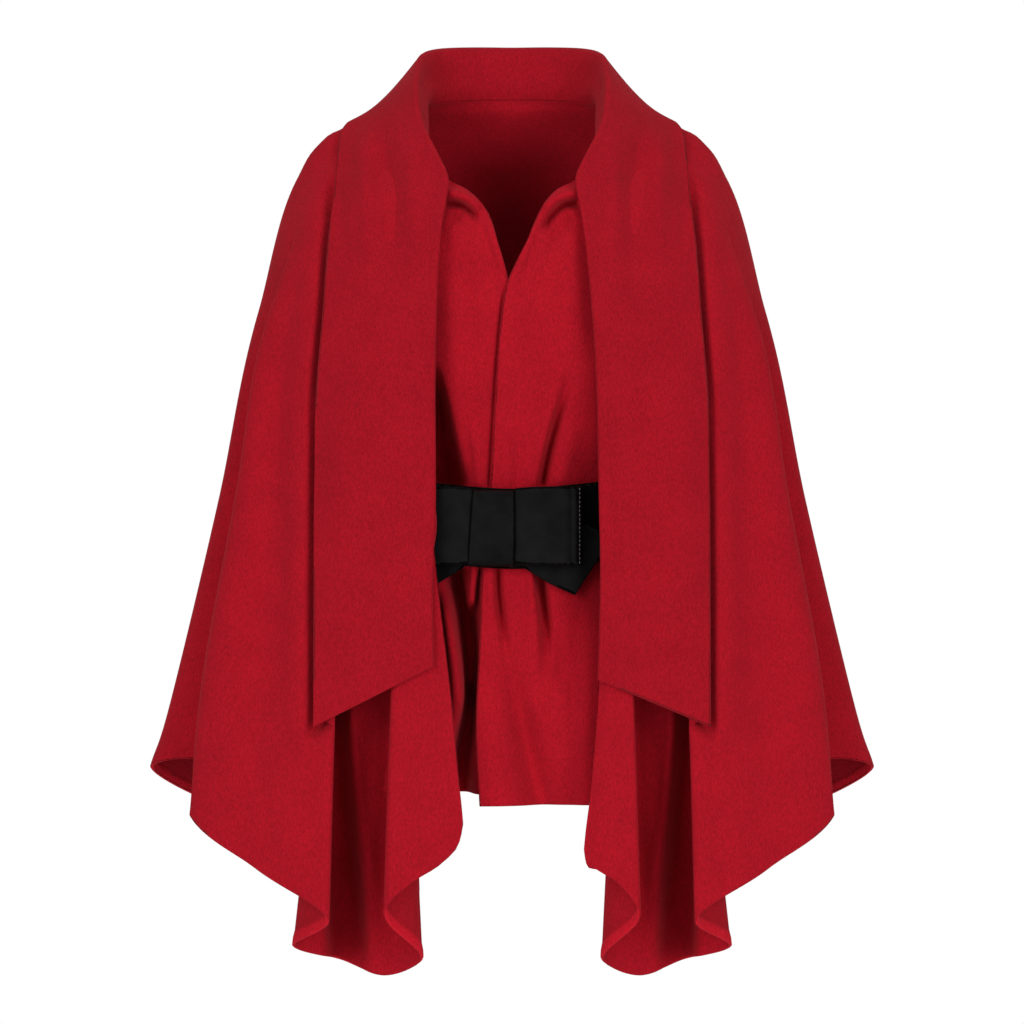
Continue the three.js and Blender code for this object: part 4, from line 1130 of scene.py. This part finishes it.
def stitch_tree(name):
    """Short stitches laid end to end along an edge, from spacing, length and thread thickness"""
    tree = bpy.data.node_groups.new(name, "GeometryNodeTree")
    face = tree.interface
    face.new_socket("Path", in_out="INPUT", socket_type="NodeSocketGeometry")
    for label, value in (("Spacing", 0.0042), ("Stitch length", 0.0026), ("Thread thickness", 0.0007)):
        socket = face.new_socket(label, in_out="INPUT", socket_type="NodeSocketFloat")
        socket.default_value = value
        socket.subtype = "DISTANCE"
    face.new_socket("Thread", in_out="INPUT", socket_type="NodeSocketMaterial")
    face.new_socket("Stitches", in_out="OUTPUT", socket_type="NodeSocketGeometry")
    source = node(tree, "NodeGroupInput")
    sink = node(tree, "NodeGroupOutput")
    curve = node(tree, "GeometryNodeMeshToCurve")
    spaced = node(tree, "GeometryNodeResampleCurve", mode="LENGTH")
    thread = node(tree, "GeometryNodeMeshUVSphere")
    set_inputs(thread, {"Segments": 8, "Rings": 5, "Radius": 0.5})
    size = node(tree, "ShaderNodeCombineXYZ")
    tangent = node(tree, "GeometryNodeInputTangent")
    turn = node(tree, "FunctionNodeAlignRotationToVector", axis="Z")
    place = node(tree, "GeometryNodeInstanceOnPoints")
    real = node(tree, "GeometryNodeRealizeInstances")
    dye = node(tree, "GeometryNodeSetMaterial")
    link = tree.links.new
    link(source.outputs["Path"], curve.inputs["Mesh"])
    link(curve.outputs["Curve"], spaced.inputs["Curve"])
    link(source.outputs["Spacing"], spaced.inputs["Length"])
    link(source.outputs["Thread thickness"], size.inputs["X"])
    link(source.outputs["Thread thickness"], size.inputs["Y"])
    link(source.outputs["Stitch length"], size.inputs["Z"])
    link(tangent.outputs["Tangent"], turn.inputs["Vector"])
    link(spaced.outputs["Curve"], place.inputs["Points"])
    link(thread.outputs["Mesh"], place.inputs["Instance"])
    link(turn.outputs["Rotation"], place.inputs["Rotation"])
    link(size.outputs["Vector"], place.inputs["Scale"])
    link(place.outputs["Instances"], real.inputs["Geometry"])
    link(real.outputs["Geometry"], dye.inputs["Geometry"])
    link(source.outputs["Thread"], dye.inputs["Material"])
    link(dye.outputs["Geometry"], sink.inputs["Stitches"])
    return tree


def stitched_mesh(name, paths, thread, spacing, length, thickness):
    """Runs the stitch tree along paths of points in millimetres, and keeps the result as a plain mesh"""
    mesh = bpy.data.meshes.new(name + "_path")
    points, edges = [], []
    for path in paths:
        first = len(points)
        points += (np.asarray(path) * MM).tolist()
        edges += [(first + k, first + k + 1) for k in range(len(path) - 1)]
    mesh.from_pydata(points, edges, [])
    carrier = bpy.data.objects.new(name + "_path", mesh)
    bpy.context.scene.collection.objects.link(carrier)
    tree = stitch_tree(name + "_stitches")
    modifier = carrier.modifiers.new("Stitches", "NODES")
    modifier.node_group = tree
    sockets = {item.name: item.identifier for item in tree.interface.items_tree if item.in_out == "INPUT"}
    modifier[sockets["Spacing"]] = spacing * MM
    modifier[sockets["Stitch length"]] = length * MM
    modifier[sockets["Thread thickness"]] = thickness * MM
    modifier[sockets["Thread"]] = thread
    carrier.update_tag()
    shown = carrier.evaluated_get(bpy.context.evaluated_depsgraph_get())
    made = bpy.data.meshes.new_from_object(shown)
    made.name = name
    carrier.modifiers.clear()
    bpy.data.objects.remove(carrier)
    made.polygons.foreach_set("use_smooth", [True] * len(made.polygons))
    return made


# Sizes and colours that a user may change

class CapeCloth(bpy.types.PropertyGroup):
    colour: FloatVectorProperty(
        name="Wool colour", description="Dye of the felted wool", subtype="COLOR",
        size=3, min=0, max=1, default=(0.372, 0.0042, 0.0130),
    )
    folds: FloatProperty(
        name="Fold strength", description="How deep the soft folds of the cape lie",
        default=1.0, min=0.0, max=1.6, subtype="FACTOR",
    )
    band_steps: IntProperty(
        name="Collar steps", description="Cross-sections along the collar and lapels",
        default=380, min=120, max=500,
    )


class CapeLeather(bpy.types.PropertyGroup):
    colour: FloatVectorProperty(
        name="Leather colour", description="Dye of the belt and bow", subtype="COLOR",
        size=3, min=0, max=1, default=(0.0030, 0.0027, 0.0027),
    )
    thread: FloatVectorProperty(
        name="Thread colour", description="Stitching at the tips of the bow", subtype="COLOR",
        size=3, min=0, max=1, default=(0.30, 0.30, 0.31),
    )
    stitch_spacing: FloatProperty(
        name="Stitch spacing", description="Distance from stitch to stitch in the bow",
        default=4.2 * MM, min=2 * MM, max=10 * MM, unit="LENGTH",
    )


class CapeStage(bpy.types.PropertyGroup):
    floor: FloatProperty(
        name="Floor height", description="Height of the floor under the worn cape",
        default=-1.40, min=-3, max=-0.9, unit="LENGTH",
    )
    ambient: FloatProperty(
        name="Soft light", description="Strength of the light from all round", default=0.27, min=0, max=3,
    )
    key: FloatProperty(
        name="Front light", description="Power of each front softbox",
        default=44, min=0, max=2000, unit="POWER",
    )


def wool(name="felted_wool", painted_tone=1.0):
    """The cloth; a tone below 1 makes a copy of it with painted shade, a tone above 1 a copy with painted
    light
    """
    found = bpy.data.materials.get(name)
    return found or felted_wool(name, tuple(c * painted_tone for c in bpy.context.scene.cape_cloth.colour))


def leather():
    found = bpy.data.materials.get("bow_leather")
    return found or smooth_leather("bow_leather", tuple(bpy.context.scene.cape_leather.colour))


_shared = {}


def rest_form():
    if "rest" not in _shared:
        _shared["rest"] = RidgeRest()
    return _shared["rest"]


class CAPE_OT_panels(bpy.types.Operator):
    """Drapes the two fronts and the back of the cape"""
    bl_idname = "cape.panels"
    bl_label = "Cape panels"

    def execute(self, context):
        cape = dressed_cape(context.scene.cape_cloth.folds)
        other_side = LAST_LINE - SIDE_LINE
        cuts = (
            ("drape_front_right", "front_right", 0, SIDE_LINE, (0.50, 0.87), 0.26),
            ("drape_front_left", "front_left", other_side, LAST_LINE, (0.50, 0.87), 0.26),
            ("drape_back", "back", SIDE_LINE, other_side, (0.86, 0.75), 0.52),
        )
        for name, solid, first, last, flat, area in cuts:
            piece = add_piece(name, cape_panel(name, first, last, cape), wool(), (solid,))
        return {"FINISHED"}


class CAPE_OT_collar(bpy.types.Operator):
    """Rolls the collar and its two long lapels"""
    bl_idname = "cape.collar"
    bl_label = "Collar and lapels"

    def execute(self, context):
        cloth = context.scene.cape_cloth
        grid = band_grid(rest_form(), cloth.band_steps, (2, 3, 3, 4, 5, 8, 8, 9))
        grid = smooth_along(grid, 6)
        # the band's rows and columns are laid the other way round than the cape's
        normals = -grid_normals(grid)
        steps = np.linalg.norm(np.diff(grid, axis=1), axis=2)
        from_seam = np.concatenate([np.zeros((len(grid), 1)), np.cumsum(steps, axis=1)], axis=1)
        from_edge = from_seam[:, -1:] - from_seam
        lift = fold_lift(grid, normals, BAND_FOLDS, cloth.folds)
        lift *= smooth_step(3, 22, from_seam) * (0.4 + 0.6 * smooth_step(0, 18, from_edge))
        grid = grid + normals * lift[..., None]
        name = "rolled_collar_and_lapels"
        mesh = shell_mesh(name, grid, WOOL, rims=(SEAM_RIM, 1))
        # painted shade: the collar and lapels get a copy of the wool 0.91 times as dark
        painted_shade_cloth = wool("felted_wool_painted_shade", 0.91)
        piece = add_piece(name, mesh, painted_shade_cloth, ("collar_and_lapels",))
        return {"FINISHED"}


class CAPE_OT_inner_fronts(bpy.types.Operator):
    """Shapes the two inner fronts and the folds that the belt presses into them"""
    bl_idname = "cape.inner_fronts"
    bl_label = "Inner fronts"

    def execute(self, context):
        strength = context.scene.cape_cloth.folds
        for side, name, solid, folds in (
            (-1, "waist_front_right", "inner_front_right", UNDER_FOLDS),
            (1, "waist_front_left", "inner_front_left", OVER_FOLDS),
        ):
            grid = inner_front_grid(side, rest_form())
            grid = soften(grid, 4)
            normals = grid_normals(grid)
            if normals[FACE_SPOT][1] > 0:
                normals = -normals
            lift = fold_lift(grid, normals, folds, strength)
            if side < 0:
                # the under panel keeps behind the over panel and its folds
                x, covered = grid[..., 0], over_edge(grid[..., 2])
                lift = np.where(lift > 0, lift * smooth_step(covered - 1, covered - 8, x), lift)
                behind = np.minimum(fold_lift(grid, normals, OVER_FOLDS, strength), 0)
                lift += behind * smooth_step(covered - 8, covered, x)
            # the belt holds the folds flat
            inside_belt = smooth_step(-382, -392, grid[..., 2]) * smooth_step(-470, -458, grid[..., 2])
            lift = lift * (1 - inside_belt)
            grid = grid.copy()
            grid[..., 1] -= lift
            normals = grid_normals(grid)
            normals = normals * np.sign(-normals[FACE_SPOT][1])
            mesh = shell_mesh(name, grid, WOOL, normals=normals)
            # painted light: the inner fronts get a copy of the wool 1.07 times as light
            piece = add_piece(name, mesh, wool("felted_wool_painted_light", 1.07), (solid,))
        return {"FINISHED"}


class CAPE_OT_belt(bpy.types.Operator):
    """Lays the leather belt round the waist and dresses its bow"""
    bl_idname = "cape.belt"
    bl_label = "Belt and bow"

    def execute(self, context):
        pieces = (
            ("leather_belt", "belt", belt_grid(220, 26), True),
            ("leather_bow_knot", "bow_knot", knot_grid(72, 22), True),
            ("leather_bow_loops", "bow_loops", loop_grid(26, 46), True),
            ("leather_bow_tails", "bow_tails", tail_grid(90, 22), False),
        )
        for name, solid, grid, wrap in pieces:
            add_piece(name, shell_mesh(name, grid, LEATHER, wrap=wrap), leather(), (solid,))
        return {"FINISHED"}


class CAPE_OT_stitching(bpy.types.Operator):
    """Sews the tips of the bow"""
    bl_idname = "cape.stitching"
    bl_label = "Stitching"

    def execute(self, context):
        settings = context.scene.cape_leather
        thread = waxed_thread("grey_thread", tuple(settings.thread))
        paths = []
        for side in (-1, 1):
            at = STITCHED_AT * side
            knots, thicknesses, _ = zip(*LOOP_SECTIONS)
            thick = np.interp(STITCHED_AT, knots, thicknesses)
            x = BOW_CENTRE_X + BOW_HALF_WIDTH * at + 0.3 * side
            y = LOOP_Y + LOOP_BEND * at**2 + LOOP_SECTIONS[0][1] - 2 * thick - 0.5
            paths.append([(x, y, BOW_Z + 2.5 + z) for z in (-36, 0, 36)])
        mesh = stitched_mesh("bow_stitches", paths, thread, settings.stitch_spacing / MM, 2.7, 0.7)
        add_piece("bow_stitches", mesh, thread)
        return {"FINISHED"}


SENSOR_WIDTH = 36
CAMERA_DISTANCE = 6.0
CAMERA_HEIGHT = -0.412
VIEW_WIDTH = 1.024
FLOOR_RADIUS = 2.4
FLOOR_SIDES = 64


class CAPE_OT_stage(bpy.types.Operator):
    """Sets up the pale floor, the soft studio light and the camera"""
    bl_idname = "cape.stage"
    bl_label = "Stage"

    def execute(self, context):
        scene = context.scene
        settings = scene.cape_stage
        mesh = bpy.data.meshes.new("floor")
        turns = [k * math.tau / FLOOR_SIDES for k in range(FLOOR_SIDES)]
        rim = [(FLOOR_RADIUS * math.cos(a), FLOOR_RADIUS * math.sin(a), settings.floor) for a in turns]
        mesh.from_pydata(rim, [], [tuple(range(FLOOR_SIDES))])
        floor = bpy.data.objects.new("floor", mesh)
        material, tree, shader = new_material("pale_floor")
        set_inputs(shader, {"Base Color": (0.86, 0.86, 0.86, 1), "Roughness": 0.9})
        mesh.materials.append(material)
        scene.collection.objects.link(floor)

        world = bpy.data.worlds.new("studio")
        scene.world = world
        world.use_nodes = True
        tree = world.node_tree
        tree.nodes.clear()
        seen = node(tree, "ShaderNodeBackground")
        seen.inputs["Strength"].default_value = 1.0
        fill = node(tree, "ShaderNodeBackground")
        fill.inputs["Strength"].default_value = settings.ambient
        for background in (seen, fill):
            background.inputs["Color"].default_value = (1, 1, 1, 1)
        path = node(tree, "ShaderNodeLightPath")
        blend = node(tree, "ShaderNodeMixShader")
        out = node(tree, "ShaderNodeOutputWorld")
        tree.links.new(path.outputs["Is Camera Ray"], blend.inputs[0])
        tree.links.new(fill.outputs[0], blend.inputs[1])
        tree.links.new(seen.outputs[0], blend.inputs[2])
        tree.links.new(blend.outputs[0], out.inputs["Surface"])

        centre = Vector((0, 0, -0.42))
        lights = (
            ("softbox_left", (-2.1, -3.2, 0.55), 1.6, settings.key),
            ("softbox_right", (2.1, -3.2, 0.55), 1.6, settings.key),
            ("softbox_low_left", (-1.7, -3.3, -1.0), 1.4, settings.key * 0.46),
            ("softbox_low_right", (1.7, -3.3, -1.0), 1.4, settings.key * 0.46),
            ("softbox_top", (0, -0.5, 2.6), 1.2, settings.key * 0.5),
            ("softbox_back", (0, 3.2, 0.9), 2.0, settings.key * 0.5),
        )
        for name, place, size, power in lights:
            lamp = bpy.data.lights.new(name, "AREA")
            lamp.shape = "SQUARE"
            lamp.size = size
            lamp.energy = power
            light = bpy.data.objects.new(name, lamp)
            light.location = place
            light.rotation_euler = (centre - light.location).to_track_quat("-Z", "Y").to_euler()
            scene.collection.objects.link(light)

        lens = bpy.data.cameras.new("camera")
        lens.sensor_width = SENSOR_WIDTH
        lens.lens = SENSOR_WIDTH * CAMERA_DISTANCE / VIEW_WIDTH
        lens.clip_end = 60
        camera = bpy.data.objects.new("camera", lens)
        camera.location = (0, -CAMERA_DISTANCE, CAMERA_HEIGHT)
        camera.rotation_euler = (math.pi / 2, 0, 0)
        scene.collection.objects.link(camera)
        scene.camera = camera
        scene.view_settings.view_transform = "Standard"
        return {"FINISHED"}


class CAPE_PT_panel(bpy.types.Panel):
    """Lists the pieces of the cape"""
    bl_idname = "CAPE_PT_panel"
    bl_label = "Belted wool cape"
    bl_space_type = "VIEW_3D"
    bl_region_type = "UI"
    bl_category = "Cape"

    def draw(self, context):
        layout = self.layout
        for group in (context.scene.cape_cloth, context.scene.cape_leather, context.scene.cape_stage):
            for name in group.__annotations__:
                layout.prop(group, name)
        for operator in OPERATORS:
            layout.operator(operator.bl_idname)


OPERATORS = (
    CAPE_OT_panels, CAPE_OT_collar, CAPE_OT_inner_fronts,
    CAPE_OT_belt, CAPE_OT_stitching, CAPE_OT_stage,
)
CLASSES = (CapeCloth, CapeLeather, CapeStage, *OPERATORS, CAPE_PT_panel)


def register():
    for made in CLASSES:
        bpy.utils.register_class(made)
    bpy.types.Scene.cape_cloth = PointerProperty(type=CapeCloth)
    bpy.types.Scene.cape_leather = PointerProperty(type=CapeLeather)
    bpy.types.Scene.cape_stage = PointerProperty(type=CapeStage)


def unregister():
    for name in ("cape_cloth", "cape_leather", "cape_stage"):
        delattr(bpy.types.Scene, name)
    for made in reversed(CLASSES):
        bpy.utils.unregister_class(made)


def main():
    register()
    bpy.ops.cape.stage()
    bpy.ops.cape.panels()
    bpy.ops.cape.collar()
    bpy.ops.cape.inner_fronts()
    bpy.ops.cape.belt()
    bpy.ops.cape.stitching()


if __name__ == "__main__":
    main()
